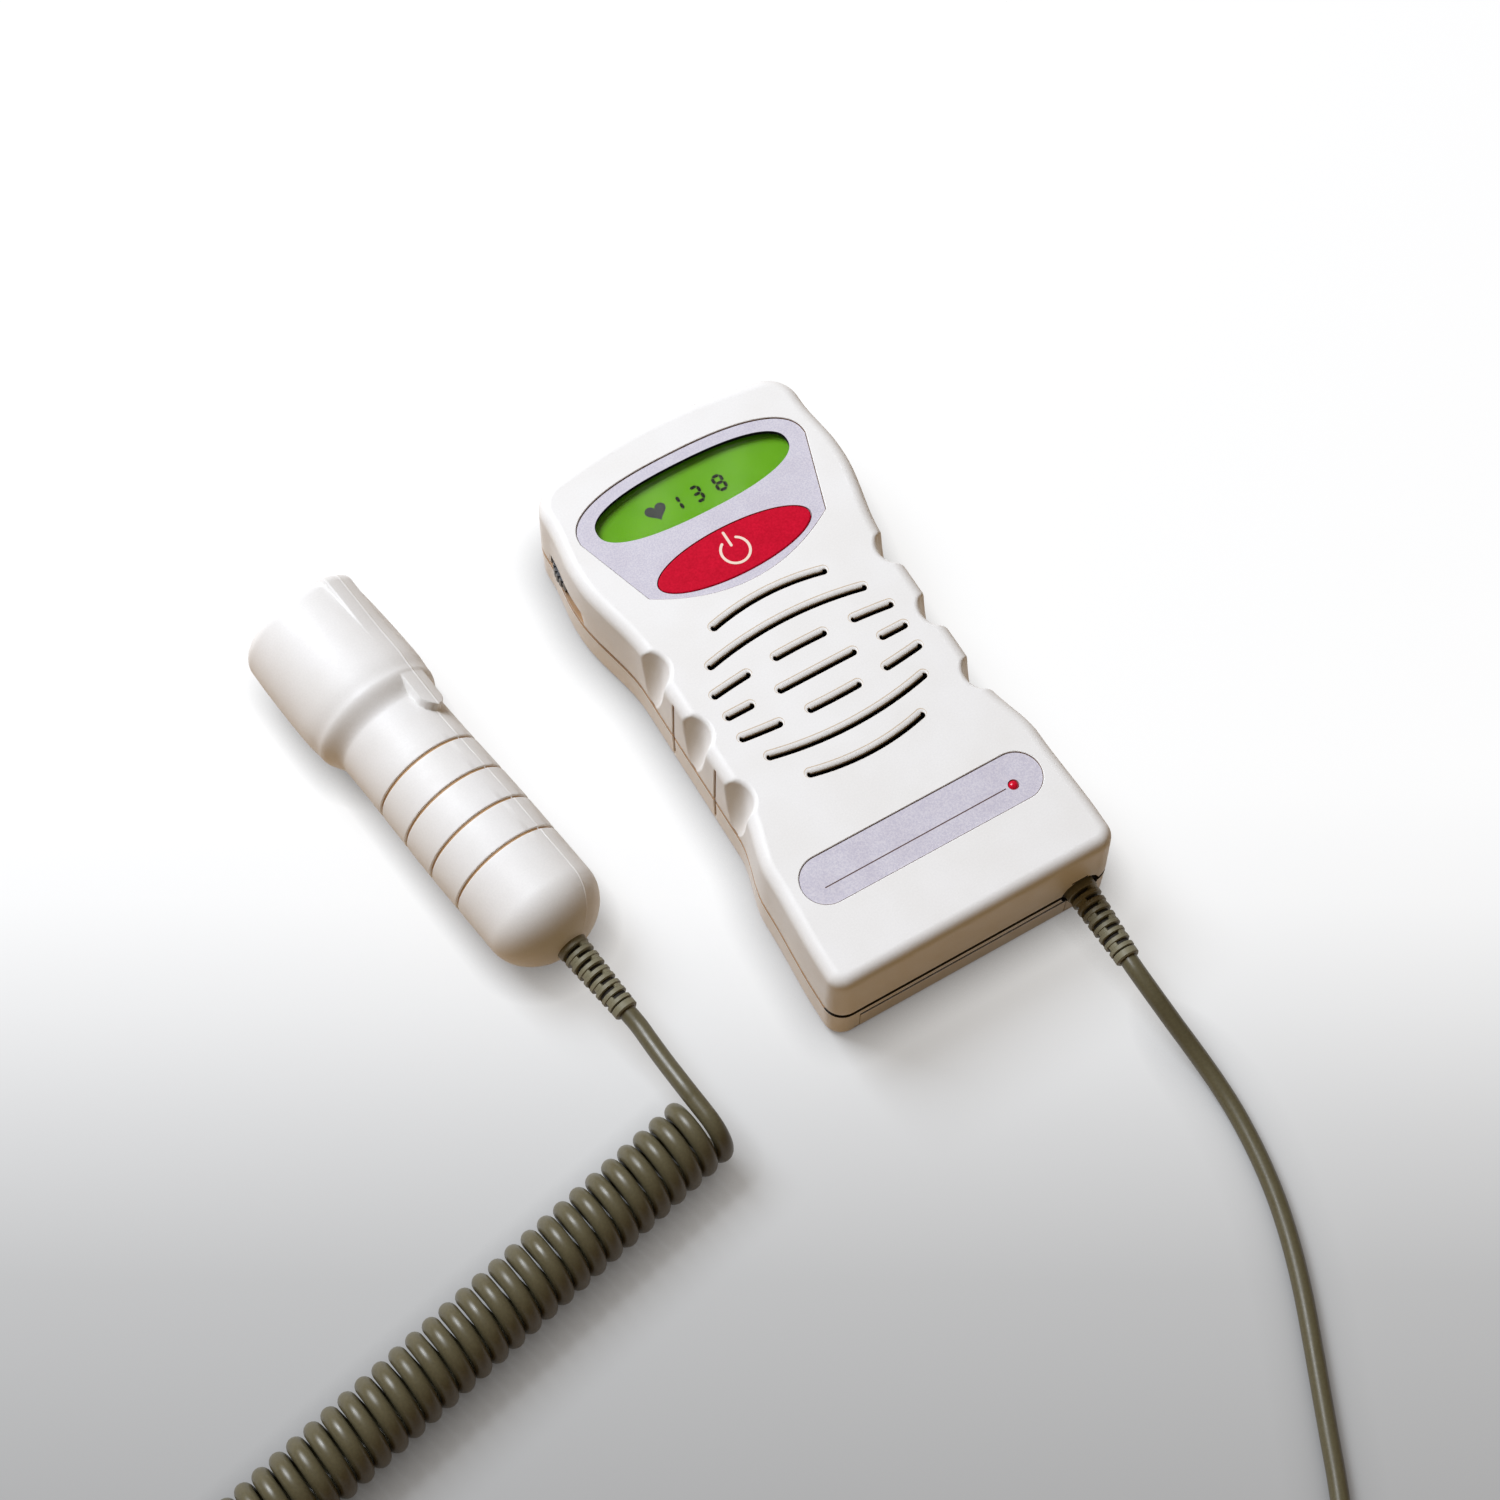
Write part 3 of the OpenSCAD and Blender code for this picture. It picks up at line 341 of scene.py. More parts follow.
def make_plain_plastics():
    moulded("black_plastic", (0.02, 0.02, 0.023), 0.42)
    moulded("blue_plastic", (0.04, 0.13, 0.38), 0.4)
    moulded("light_guide", (0.78, 0.78, 0.72), 0.3, Subsurface_Weight=0.1)
    moulded("black_rubber", (0.018, 0.018, 0.02), 0.65, 0.5, 0.02)
    moulded("probe_lens", (0.76, 0.78, 0.82), 0.25, 1.5, 0.004)
    moulded("piezo_ceramic", (0.5, 0.45, 0.35), 0.5, 0.2)
    moulded("cord_rubber", (0.116, 0.102, 0.056), 0.36, 0.6, 0.008, 0.07, Specular_IOR_Level=0.5)
    moulded("relief_rubber", (0.225, 0.210, 0.135), 0.5, 0.5, 0.01, 0.06)
    moulded("red_light", (0.7, 0.004, 0.03), 0.2, 0.8, 0.002)
    moulded("cream_ink", (0.9, 0.72, 0.6), 0.5, 0.25, 0.006, 0.05)
    moulded("dark_ink", (0.003, 0.005, 0.003), 0.6, 0.25, 0.004, 0.2, Specular_IOR_Level=0.1)
    moulded("grey_ink", (0.040, 0.044, 0.044), 0.6, 0.25, 0.004, 0.25, Specular_IOR_Level=0.1)
    moulded("brown_ink", (0.09, 0.035, 0.025), 0.5, 0.25, 0.004, 0.2)


def make_red_button():
    recipe = Recipe("red_button", 0.5, Specular_IOR_Level=0.05)
    grain = recipe.noise(0.5, 3)
    broad = recipe.noise(2.6, 2)
    fine = recipe.blend(grain, (0.56, 0.003, 0.024), (0.66, 0.006, 0.032))
    recipe.colour(recipe.mix(1.0, fine, recipe.blend(broad, (0.93, 0.9, 0.9), (1, 1, 1)), "MULTIPLY"))
    recipe.gloss(broad, 0.46, 0.58)
    recipe.bump(grain, 0.008)


def make_fascia():
    """Printed film: pale lilac grey with a fine speckle"""
    recipe = Recipe("fascia", 0.5, Specular_IOR_Level=0.3)
    speckle = recipe.noise(0.34, 4)
    fine = recipe.blend(speckle, (0.585, 0.565, 0.655), (0.70, 0.675, 0.735), 0.38, 0.62)
    recipe.colour(recipe.mix(1.0, fine, recipe.blend(recipe.noise(5, 2), (0.95, 0.94, 0.95), (1, 1, 1)),
                             "MULTIPLY"))
    recipe.gloss(speckle, 0.44, 0.58)
    recipe.bump(speckle, 0.006)


def make_display():
    """A lit green display with a faint dot pattern"""
    recipe = Recipe("green_display", 0.5, Emission_Color=(0.12, 0.42, 0.01, 1), Emission_Strength=0.04,
                    Specular_IOR_Level=0.1)
    dots = recipe.noise(0.22, 1)
    cloud = recipe.noise(9, 2)
    fine = recipe.blend(dots, (0.115, 0.33, 0.003), (0.145, 0.38, 0.006))
    recipe.colour(recipe.mix(1.0, fine, recipe.blend(cloud, (0.88, 0.93, 0.85), (1, 1, 1)), "MULTIPLY"))
    recipe.bump(dots, 0.002)


def make_clear_window():
    """Clear plastic: mostly seen through, with a soft gloss that grows towards grazing angles"""
    recipe = Recipe("clear_window", 0.08, Metallic=1.0)
    smear = recipe.noise(4, 2)
    recipe.colour(recipe.blend(smear, (0.93, 0.96, 0.93), (0.97, 1, 0.97)))
    recipe.gloss(smear, 0.06, 0.11)
    through = recipe.add("BsdfTransparent")
    seen = recipe.add("MixShader", recipe.add("Fresnel", IOR=1.45), through,
                      recipe.shader.outputs["BSDF"])
    for_shadows = recipe.add("LightPath").node.outputs["Is Shadow Ray"]
    recipe.show(recipe.add("MixShader", for_shadows, seen, through))


def make_metal():
    recipe = Recipe("plated_metal", 0.32, Metallic=1.0)
    brushed = recipe.noise(0.25, 2, (1, 6, 6))
    recipe.colour(recipe.blend(brushed, (0.52, 0.53, 0.55), (0.68, 0.69, 0.71)))
    recipe.gloss(brushed, 0.24, 0.42)
    recipe.bump(brushed, 0.003)


def make_battery_wrap():
    recipe = Recipe("battery_wrap", 0.28, Coat_Weight=0.3)
    wrinkle = recipe.noise(2.2, 3, (0.4, 1, 1))
    recipe.colour(recipe.blend(wrinkle, (0.03, 0.036, 0.07), (0.06, 0.07, 0.12)))
    recipe.gloss(wrinkle, 0.22, 0.36)
    recipe.bump(wrinkle, 0.02)


def make_circuit_board():
    """Green solder mask over tracks"""
    recipe = Recipe("circuit_board", 0.34)
    tracks = recipe.add(
        "TexBrick", recipe.place, Scale=160, Mortar_Size=0.03, Color1=(0.012, 0.12, 0.045, 1),
        Color2=(0.016, 0.14, 0.055, 1), Mortar=(0.05, 0.26, 0.10, 1),
    )
    cloud = recipe.blend(recipe.noise(3, 2), (0.85, 0.9, 0.85), (1, 1, 1))
    recipe.colour(recipe.mix(1.0, tracks, cloud, "MULTIPLY"))
    recipe.bump(tracks.node.outputs["Fac"], 0.03)


def make_ribbon():
    recipe = Recipe("ribbon", 0.3)
    stripes = recipe.noise(0.6, 1, (1, 0.02, 0.02))
    recipe.colour(recipe.blend(stripes, (0.36, 0.17, 0.03), (0.6, 0.36, 0.12)))
    recipe.bump(stripes, 0.02)


def make_paper():
    recipe = Recipe("speaker_paper", 0.85)
    fibre = recipe.noise(0.7, 5)
    recipe.colour(recipe.blend(fibre, (0.012, 0.012, 0.012), (0.035, 0.035, 0.033)))
    recipe.bump(fibre, 0.05)


for make in (
    make_casing, make_plain_plastics, make_red_button, make_fascia, make_display, make_clear_window,
    make_metal, make_battery_wrap, make_circuit_board, make_ribbon, make_paper,
):
    make()


def dress(piece, *names):
    """Gives a piece its materials, in place of any that it has"""
    piece.data.materials.clear()
    for name in names:
        piece.data.materials.append(made_materials[name])


def paint(piece, choose):
    """Gives faces the material whose number choose(centre in mm, normal) returns, if it isn't None"""
    for face in piece.data.polygons:
        number = choose(face.center / MM, face.normal)
        if number is not None:
            face.material_index = number


# ---------- cord ----------

CORD_R = 0.002
GLAND_AT = Vector((0.0264, -0.07025, 0.011))
RELIEF_L = 0.019
COIL_START = Vector((-0.0693, -0.07515, 0.0085))
COIL_TURN = math.radians(12.8)
COIL_R = 0.0065
CURL_PITCH = 0.00445
CURLS = 30.125
STEPS_PER_CURL = 40
ALONG = Vector((-math.cos(COIL_TURN), -math.sin(COIL_TURN), 0))
ACROSS = Vector((math.sin(COIL_TURN), -math.cos(COIL_TURN), 0))
LEAD_POINTS = [
    (0.0269, -0.099, 0.0098), (0.028, -0.106, 0.0069), (0.0291, -0.113, 0.0042),
    (0.0297, -0.121, 0.0025), (0.0294, -0.129, 0.00205), (0.0282, -0.138, 0.00205),
    (0.0263, -0.147, 0.00205), (0.0236, -0.156, 0.00205), (0.02, -0.1655, 0.00205),
    (0.0158, -0.175, 0.00205), (0.0114, -0.1845, 0.00205), (0.007, -0.194, 0.00205),
    (0.0026, -0.2035, 0.00205), (-0.0026, -0.213, 0.00205), (-0.01, -0.221, 0.00205),
    (-0.02, -0.226, 0.00205), (-0.031, -0.2265, 0.00205), (-0.042, -0.223, 0.00205),
    (-0.053, -0.2175, 0.00205), (-0.065, -0.211, 0.00205), (-0.077, -0.204, 0.00205),
    (-0.089, -0.197, 0.00205), (-0.101, -0.19, 0.00205), (-0.113, -0.183, 0.00205),
    (-0.125, -0.176, 0.00205), (-0.137, -0.1695, 0.00205), (-0.149, -0.1635, 0.00205),
    (-0.161, -0.1575, 0.00205), (-0.172, -0.1515, 0.00205), (-0.182, -0.1445, 0.00205),
    (-0.19, -0.136, 0.00205), (-0.195, -0.127, 0.0026), (-0.1974, -0.1195, 0.0048),
]
PROBE_LEAD_POINTS = [(-0.071, -0.0545, 0.0129), (-0.0707, -0.06, 0.0136)]

PROBE_TAIL = Vector((-0.0747, -0.02775, 0.013165))
PROBE_YAW = math.radians(8.84)
PROBE_TILT = math.radians(1.851)
TAIL_S = 0.0004
PROBE_RUN = Vector((
    -math.sin(PROBE_YAW) * math.cos(PROBE_TILT),
    math.cos(PROBE_YAW) * math.cos(PROBE_TILT),
    math.sin(PROBE_TILT),
))


def coil_point(turn):
    a = 2 * math.pi * turn
    return COIL_START + ALONG * CURL_PITCH * turn + COIL_R * (math.cos(a) * UP + math.sin(a) * ACROSS)


def coil_run(turn):
    a = 2 * math.pi * turn
    round_it = COIL_R * (math.cos(a) * ACROSS - math.sin(a) * UP)
    return (ALONG * CURL_PITCH / (2 * math.pi) + round_it).normalized()


def smooth_path(points, steps=4):
    """A Catmull-Rom curve through points"""
    points = [Vector(p) for p in points]
    made = []
    for i in range(len(points) - 1):
        a = points[max(i - 1, 0)]
        b, c = points[i], points[i + 1]
        d = points[min(i + 2, len(points) - 1)]
        for k in range(steps):
            t = k / steps
            made.append(0.5 * (
                2 * b + (c - a) * t + (2 * a - 5 * b + 4 * c - d) * t * t
                + (3 * b - a - 3 * c + d) * t * t * t
            ))
    return made + [points[-1]]


def cord_path():
    """From the monitor's strain relief through the curls to the probe's strain relief"""
    gland_tip = GLAND_AT - Vector((0, RELIEF_L, 0))
    far_run, near_run = coil_run(CURLS), coil_run(0)
    coil_last = coil_point(CURLS) + 2 * CORD_R * far_run
    coil_first = coil_point(0) - 2 * CORD_R * near_run
    probe_tip = PROBE_TAIL + (TAIL_S - RELIEF_L) * PROBE_RUN
    lead = smooth_path(
        [gland_tip, gland_tip - Vector((0, 2 * CORD_R, 0)), *LEAD_POINTS,
         coil_last + 1.2 * CORD_R * far_run, coil_last]
    )
    turns = [
        coil_point(CURLS * (1 - i / (CURLS * STEPS_PER_CURL)))
        for i in range(int(CURLS * STEPS_PER_CURL) + 1)
    ]
    tail = smooth_path(
        [coil_first, coil_first - 2 * CORD_R * near_run, *reversed(PROBE_LEAD_POINTS),
         probe_tip - 2 * CORD_R * PROBE_RUN, probe_tip]
    )
    return lead + turns + tail


def tube(name, path, radius, sides=18):
    """A round tube whose rings don't twist along the path"""
    normal = UP
    rings = []
    for i, point in enumerate(path):
        run = (path[min(i + 1, len(path) - 1)] - path[max(i - 1, 0)]).normalized()
        normal = (normal - run * normal.dot(run)).normalized()
        side = run.cross(normal)
        rings.append([
            point + radius * (
                math.cos(2 * math.pi * k / sides) * normal + math.sin(2 * math.pi * k / sides) * side
            )
            for k in range(sides)
        ])
    return loft(name, rings, 1)


def make_cord():
    path = cord_path()
    piece = tube("curly_cord", path, CORD_R)
    dress(piece, "cord_rubber")
    shade(piece, 50)
    stand_for(piece, "monitor", "cord_rubber", "cord_lead", "coiled_cord", "probe_lead")


make_cord()


# ---------- strain reliefs ----------

RIBS = 8
RIB_START = 1.4
RIB_PITCH = (RELIEF_L / MM - RIB_START - 2) / RIBS
RIB_GAP = 0.46
RELIEF_R = 3.6
RELIEF_TIP_R = 2.8
RELIEF_CORE_R = 2.4
WEB_HALF = math.radians(24)
RELIEF_COLUMNS = 96


def relief_rows(inside):
    """Rows along a strain relief: place, radius and, in a gap, the radius and side of its webs"""
    rows = [
        (-inside - 1, 0, None), (-inside - 1, RELIEF_R + 1, None), (-inside, RELIEF_R + 1, None),
        (-inside, RELIEF_R, None), (RIB_START - 0.2, RELIEF_R, None), (RIB_START, RELIEF_R - 0.2, None),
    ]
    for k in range(RIBS):
        low = RIB_START + k * RIB_PITCH
        high = low + RIB_PITCH
        ledge = low + RIB_GAP * RIB_PITCH
        r = RELIEF_R - (RELIEF_R - RELIEF_TIP_R) * (k + 1) / (RIBS + 1)
        web = (r - 0.12, k % 2)
        rows += [(low + 0.02, RELIEF_CORE_R, web), (ledge - 0.02, RELIEF_CORE_R, web)]
        rows += [(ledge, r - 0.16, None), (ledge + 0.14, r, None)]
        rows += [(high - 0.14, r, None), (high, r - 0.16, None)]
    tip = RELIEF_L / MM
    rows += [
        (tip - 1.98, RELIEF_CORE_R, None), (tip - 1.72, RELIEF_CORE_R, None),
        (tip - 1.7, RELIEF_TIP_R - 0.1, None), (tip - 1.6, RELIEF_TIP_R, None),
        (tip - 0.3, RELIEF_TIP_R, None), (tip, RELIEF_TIP_R - 0.3, None), (tip, 0, None),
    ]
    return rows


def relief_radius(row, angle):
    """Webs bridge each gap at two sides, a quarter turn on from one gap to the next"""
    radius, web = row[1], row[2]
    if web is None:
        return radius
    centre = math.radians(45 + 90 * web[1])
    off = abs((angle - centre + math.pi / 2) % math.pi - math.pi / 2)
    return web[0] if off < WEB_HALF else radius


def make_strain_relief(name, node, inside, placement):
    angles = [2 * math.pi * i / RELIEF_COLUMNS for i in range(RELIEF_COLUMNS)]
    rings = [
        [(relief_radius(row, a) * math.cos(a), relief_radius(row, a) * math.sin(a), row[0])
         for a in angles]
        for row in relief_rows(inside)[1:-1]
    ]
    piece = loft(name, rings)
    dress(piece, "relief_rubber", "painted_gap_shade")

    # Painted shade: the core inside the gaps between the ribs is black
    def in_gap(at, _):
        deep = math.hypot(at.x, at.y) < RELIEF_CORE_R + 0.02
        return 1 if deep and RIB_START < at.z < RELIEF_L / MM - 1.5 else None

    paint(piece, in_gap)
    piece.data.transform(placement)
    shade(piece, 40)
    stand_for(piece, "monitor", "cord_rubber", node)


def probe_placement():
    """From the probe's own axes, with z from its tail to its face, to the frame's"""
    return (
        Matrix.Translation(PROBE_TAIL)
        @ Matrix.Rotation(PROBE_YAW, 4, "Z")
        @ Matrix.Rotation(PROBE_TILT - math.pi / 2, 4, "X")
    )


make_strain_relief(
    "monitor_cord_grip", "monitor_strain_relief", 2.3,
    Matrix.Translation(GLAND_AT) @ Matrix.Rotation(math.pi / 2, 4, "X"),
)
make_strain_relief(
    "probe_cord_grip", "probe_strain_relief", 2.1,
    probe_placement() @ Matrix.Translation((0, 0, TAIL_S)) @ Matrix.Rotation(math.pi, 4, "X"),
)


# ---------- outline of the case ----------

shell_high = box_mm("front_shell")[1]
CASE_END = shell_high.y
TOP_Z = shell_high.z
SEAM_Z = box_mm("rear_shell")[1].z
WAIST_W = 61.8
TOP_W = 69.2
BASE_W = 2 * shell_high.x
GRIP_Y = -3.35
CORNER_R = 4.5
CROWN_R = 8
CROWN_X = 25.2
CROWN_RISE = 2.8
CROWN_ANGLE = math.radians(77)
CROWN_Y = CASE_END - CROWN_RISE - CROWN_R * math.sin(CROWN_ANGLE)
EDGE_R = 3
FOOT_R = 1.8
WALL_T = 2.2
PLATE_Z = 25.5
FLOOR_T = 2.2

SCALLOP_PITCH = 18
SCALLOP_R = 5
SCALLOP_DEPTH = 4
SCALLOP_RIM = 1
SCALLOP_WALL = 1.4
SCALLOP_LIP = 1.1
GROOVE_DEPTH = 0.6
GROOVE_HALF = 0.55
SCALLOPS = [GRIP_Y - SCALLOP_PITCH, GRIP_Y, GRIP_Y + SCALLOP_PITCH]


def half_width(y):
    """Half of the case's width at a place along it"""
    waist = WAIST_W / 2
    cord_end = 0.8 * ease((GRIP_Y - 19.6 - y) / 17) + 0.2 * ease((-40 - y) / 22)
    return (
        waist + (TOP_W / 2 - waist) * ease((y - GRIP_Y - 21.4) / 24) - 1.4 * ease((y - 44) / 14)
        + (BASE_W / 2 - waist) * cord_end
    )


def wall_x(y, inset):
    slope = (half_width(y + 0.1) - half_width(y - 0.1)) / 0.2
    return half_width(y) - inset * math.sqrt(1 + slope * slope)


def groove_at(y, centre, depth):
    return depth * ease((GROOVE_HALF - abs(y - centre)) / 0.36)


def scallop_arc(centre_y, z, inset, gain):
    """A finger scallop with a soft lip on each side, as points from its low end to its high end"""
    r = SCALLOP_R + gain
    lean = SCALLOP_DEPTH / (TOP_Z - SEAM_Z)
    centre_x = WAIST_W / 2 - SCALLOP_DEPTH + SCALLOP_R + (TOP_Z - z) * lean
    centre_x = min(centre_x, wall_x(centre_y, inset) + r - 0.004)
    lips = []
    for side in (-1, 1):
        y = centre_y
        for _ in range(5):
            gap = centre_x - wall_x(y, inset) + SCALLOP_LIP
            y = centre_y + side * math.sqrt(max(0, (r + SCALLOP_LIP) ** 2 - gap * gap))
        lips.append(Vector((wall_x(y, inset) - SCALLOP_LIP, y)))
    centre = Vector((centre_x, centre_y))
    low, high = centre - lips[0], centre - lips[1]
    low_angle, high_angle = math.atan2(low.y, low.x), math.atan2(high.y, high.x)
    points = [lips[0] + SCALLOP_LIP * Vector((math.cos(a), math.sin(a)))
              for a in (low_angle * i / 6 for i in range(7))]
    points += [centre + r * Vector((math.cos(a), math.sin(a))) for a in (
        low_angle + math.pi + (high_angle - low_angle) * i / 28 for i in range(1, 28)
    )]
    points += [lips[1] + SCALLOP_LIP * Vector((math.cos(a), math.sin(a)))
               for a in (high_angle * (1 - i / 6) for i in range(7))]
    return [tuple(p) for p in points]


def stretch(low, high, steps):
    """Places from low to high, without the two ends"""
    return [low + (high - low) * i / steps for i in range(1, steps)]


def right_outline(z, inset, gain, groove):
    """Right half of the case's outline, from the middle of the cord end to the display end"""
    points = [(x, -CASE_END + inset) for x in (0, 8, 16, 24, 28)]
    corner = (half_width(-CASE_END) - CORNER_R, -CASE_END + CORNER_R)
    for i in range(10):
        a = math.radians(-90 + 10 * i)
        reach = CORNER_R - inset
        points.append((corner[0] + reach * math.cos(a), corner[1] + reach * math.sin(a)))
    low = -CASE_END + CORNER_R - 0.001
    for k, centre_y in enumerate(SCALLOPS):
        arc = scallop_arc(centre_y, z, inset, gain)
        points += [(wall_x(y, inset), y) for y in stretch(low, arc[0][1], 26 if k == 0 else 4)]
        points += arc
        low = arc[-1][1]
        if k < 2:
            line = centre_y + SCALLOP_PITCH / 2
            points += [(wall_x(y, inset), y) for y in stretch(low, line - 0.7, 4)]
            for i in range(-7, 8):
                y = line + i * 0.1
                points.append((wall_x(y, inset) - groove_at(y, line, groove), y))
            low = line + 0.7
    points += [(wall_x(y, inset), y) for y in stretch(low, CROWN_Y, 34)]
    reach = CROWN_R - inset
    for i in range(12):
        a = CROWN_ANGLE * i / 11
        points.append((CROWN_X + reach * math.cos(a), CROWN_Y + reach * math.sin(a)))
    last_x = points[-1][0]
    parabola = CROWN_RISE / 27 ** 2
    for i in range(9, -1, -1):
        x = last_x * i / 10
        slope = 2 * parabola * x
        points.append((x, CASE_END - parabola * x * x - inset * math.sqrt(1 + slope * slope)))
    return points


def case_ring(z, inset, gain=0, groove=0):
    right = right_outline(z, inset, gain, groove)
    left = [(-x, y) for x, y in reversed(right[1:-1])]
    return at_height(right + left, z)


def groove_depth(z):
    return GROOVE_DEPTH * ease((z - 2.2) / 1.2) * ease((26 - z) / 1.6)


def edge_profile(radius, draft, steps):
    """Height below the flat face and inset of a rounded edge, from the wall to the face"""
    for i in range(steps + 1):
        a = math.pi / 2 * i / steps
        yield radius * (1 - math.sin(a)), draft + radius * (1 - math.cos(a))


SEAM_LIP = [(0, 1.2), (0.5, 1.1), (0.65, 0.14), (0.75, 0.03), (0.9, 0)]


def front_profile():
    """Height, inset and gain of the scallops' radius for each ring of the front shell"""
    rows = [(SEAM_Z + h, inset, 0) for h, inset in SEAM_LIP]
    draft = 0.25
    wall_top = TOP_Z - EDGE_R
    rows += [(z, draft * (z - rows[-1][0]) / (wall_top - SEAM_Z), 0)
             for z in stretch(SEAM_Z + SEAM_LIP[-1][0], wall_top, 22)]
    for below, inset in edge_profile(EDGE_R, draft, 14):
        rise = max(0, SCALLOP_RIM - below)
        gain = SCALLOP_RIM - math.sqrt(max(0, SCALLOP_RIM ** 2 - rise ** 2))
        rows.append((TOP_Z - below, inset, gain))
    return rows


def rear_profile():
    draft = 0.2
    rows = [(below, inset, 0) for below, inset in edge_profile(FOOT_R, draft, 9)][::-1]
    rows += [(z, draft * (1 - (z - FOOT_R) / (SEAM_Z - FOOT_R)), 0)
             for z in stretch(FOOT_R, SEAM_Z - SEAM_LIP[-1][0], 8)]
    rows += [(SEAM_Z - h, inset, 0) for h, inset in reversed(SEAM_LIP)]
    return rows


# Painted shade on the shells: brown in grooves, recesses and along the side joint, black in gaps, slots
# and the window's wall, tan round the slots' rims
CASE_MATERIALS = ("casing", "groove", "painted_gap_shade", "mask", "painted_rim_shade")
BROWN_SHADE, GAP_SHADE, BLACK_SHADE, RIM_SHADE = range(1, 5)
LINE_HALF = 0.42


def case_skin(name, profile):
    """A shell's outer skin, with painted brown shade in its grip grooves and along the joint at the
    sides, and painted black shade in the joint at the cord end
    """
    rings = [case_ring(z, inset, gain, groove_depth(z)) for z, inset, gain in profile]
    piece = loft(name, rings)
    dress(piece, *CASE_MATERIALS)
    lines = [SCALLOPS[0] + SCALLOP_PITCH / 2, SCALLOPS[1] + SCALLOP_PITCH / 2]

    def skin_painted_shade(at, _):
        if abs(at.z - SEAM_Z) < SEAM_LIP[-2][0]:
            return GAP_SHADE if at.y < 5 - CASE_END else BROWN_SHADE
        in_line = any(abs(at.y - line) < LINE_HALF for line in lines) and abs(at.x) > 20
        return BROWN_SHADE if in_line and groove_depth(at.z) > 0.3 * GROOVE_DEPTH else None

    paint(piece, skin_painted_shade)
    return piece


# ---------- openings of the case ----------

WINDOW_Y = 50.1
WINDOW_W = 48.8
WINDOW_H = 14.2
WINDOW_POWER = 2.4
SEAT_HALF = 26.15
SEAT_LOW = 41
SEAT_HIGH = 59.25
BUTTON_Y = 31.5
BUTTON_W = 38.4
BUTTON_H = 12.2
KEY_GAP = 0.25
FASCIA_HALF = 28.9
FASCIA_LOW_HALF = 22.6
FASCIA_LOW = 22.9
FASCIA_BOW = 7.1
FASCIA_ARCH_Y = 49.5
FASCIA_ARCH = 10.6
FASCIA_POWER = 0.8
FASCIA_Z = 27.1
FASCIA_TOP = 27.6
SHEET_GAP = 0.15
LENS_TOP = 26.4
LABEL_Y = -46.9
LABEL_L = 58.6
LABEL_H = 11.4
LABEL_Z = 27.3
LABEL_TOP = 27.7
RULE_ENDS = [(-24.7, -48.4), (20.1, -48.25)]
RULE_W = 0.26
INK_T = 0.03
LIGHT_AT = (22.1, -48.2)
LED_R = 1.15
LED_GAP = 0.1
SLOT_W = 3
SLOT_PITCH = 7.4
SLOT_BOW = 0.006
GRILLE_HALF = 23.6
ROLL_DEPTH = 0.43


def super_ellipse(y, w, h, power, steps=120):
    """A closed curve round (0, y), between an ellipse (power 2) and a rectangle"""
    points = []
    for i in range(steps):
        a = 2 * math.pi * i / steps
        c, s = math.cos(a), math.sin(a)
        points.append((
            math.copysign(w / 2 * abs(c) ** (2 / power), c),
            y + math.copysign(h / 2 * abs(s) ** (2 / power), s),
        ))
    return points


def stadium(length, height, steps=24):
    r = height / 2
    points = []
    for side, first in ((1, -90), (-1, 90)):
        for i in range(steps + 1):
            a = math.radians(first + 180 * i / steps)
            points.append((side * (length / 2 - r) + r * math.cos(a), LABEL_Y + r * math.sin(a)))
    return points


def window_outline():
    return super_ellipse(WINDOW_Y, WINDOW_W, WINDOW_H, WINDOW_POWER)


def key_outline():
    return super_ellipse(BUTTON_Y, BUTTON_W + 2 * KEY_GAP, BUTTON_H + 2 * KEY_GAP, 2)


def fascia_outline():
    """An arched top, sides that slope in, and a bowed lower edge"""
    right = [(FASCIA_LOW_HALF * i / 16, FASCIA_LOW + FASCIA_BOW * (i / 16) ** 2) for i in range(17)]
    for i in range(33):
        a = math.pi / 2 * i / 32
        across, up = math.cos(a) ** FASCIA_POWER, math.sin(a) ** FASCIA_POWER
        right.append((FASCIA_HALF * across, FASCIA_ARCH_Y + FASCIA_ARCH * up))
    right[-1] = (0, right[-1][1])
    return right + [(-x, y) for x, y in reversed(right[1:-1])]


def slot_outline(low_x, high_x, row_y, bow, w, steps=30):
    """A slot with round ends that follows its bowed row"""
    r = w / 2
    middle = []
    for i in range(steps + 1):
        x = low_x + r + (high_x - low_x - w) * i / steps
        middle.append((x, row_y - bow * x * x, math.atan(-2 * bow * x)))
    points = [(x + r * math.sin(a), y - r * math.cos(a)) for x, y, a in middle]
    x, y, tilt = middle[-1]
    points += [(x + r * math.cos(a), y + r * math.sin(a))
               for a in (tilt + math.radians(15 * i - 90) for i in range(1, 12))]
    points += [(x - r * math.sin(a), y + r * math.cos(a)) for x, y, a in reversed(middle)]
    x, y, tilt = middle[0]
    points += [(x + r * math.cos(a), y + r * math.sin(a))
               for a in (tilt + math.radians(15 * i + 90) for i in range(1, 12))]
    return points


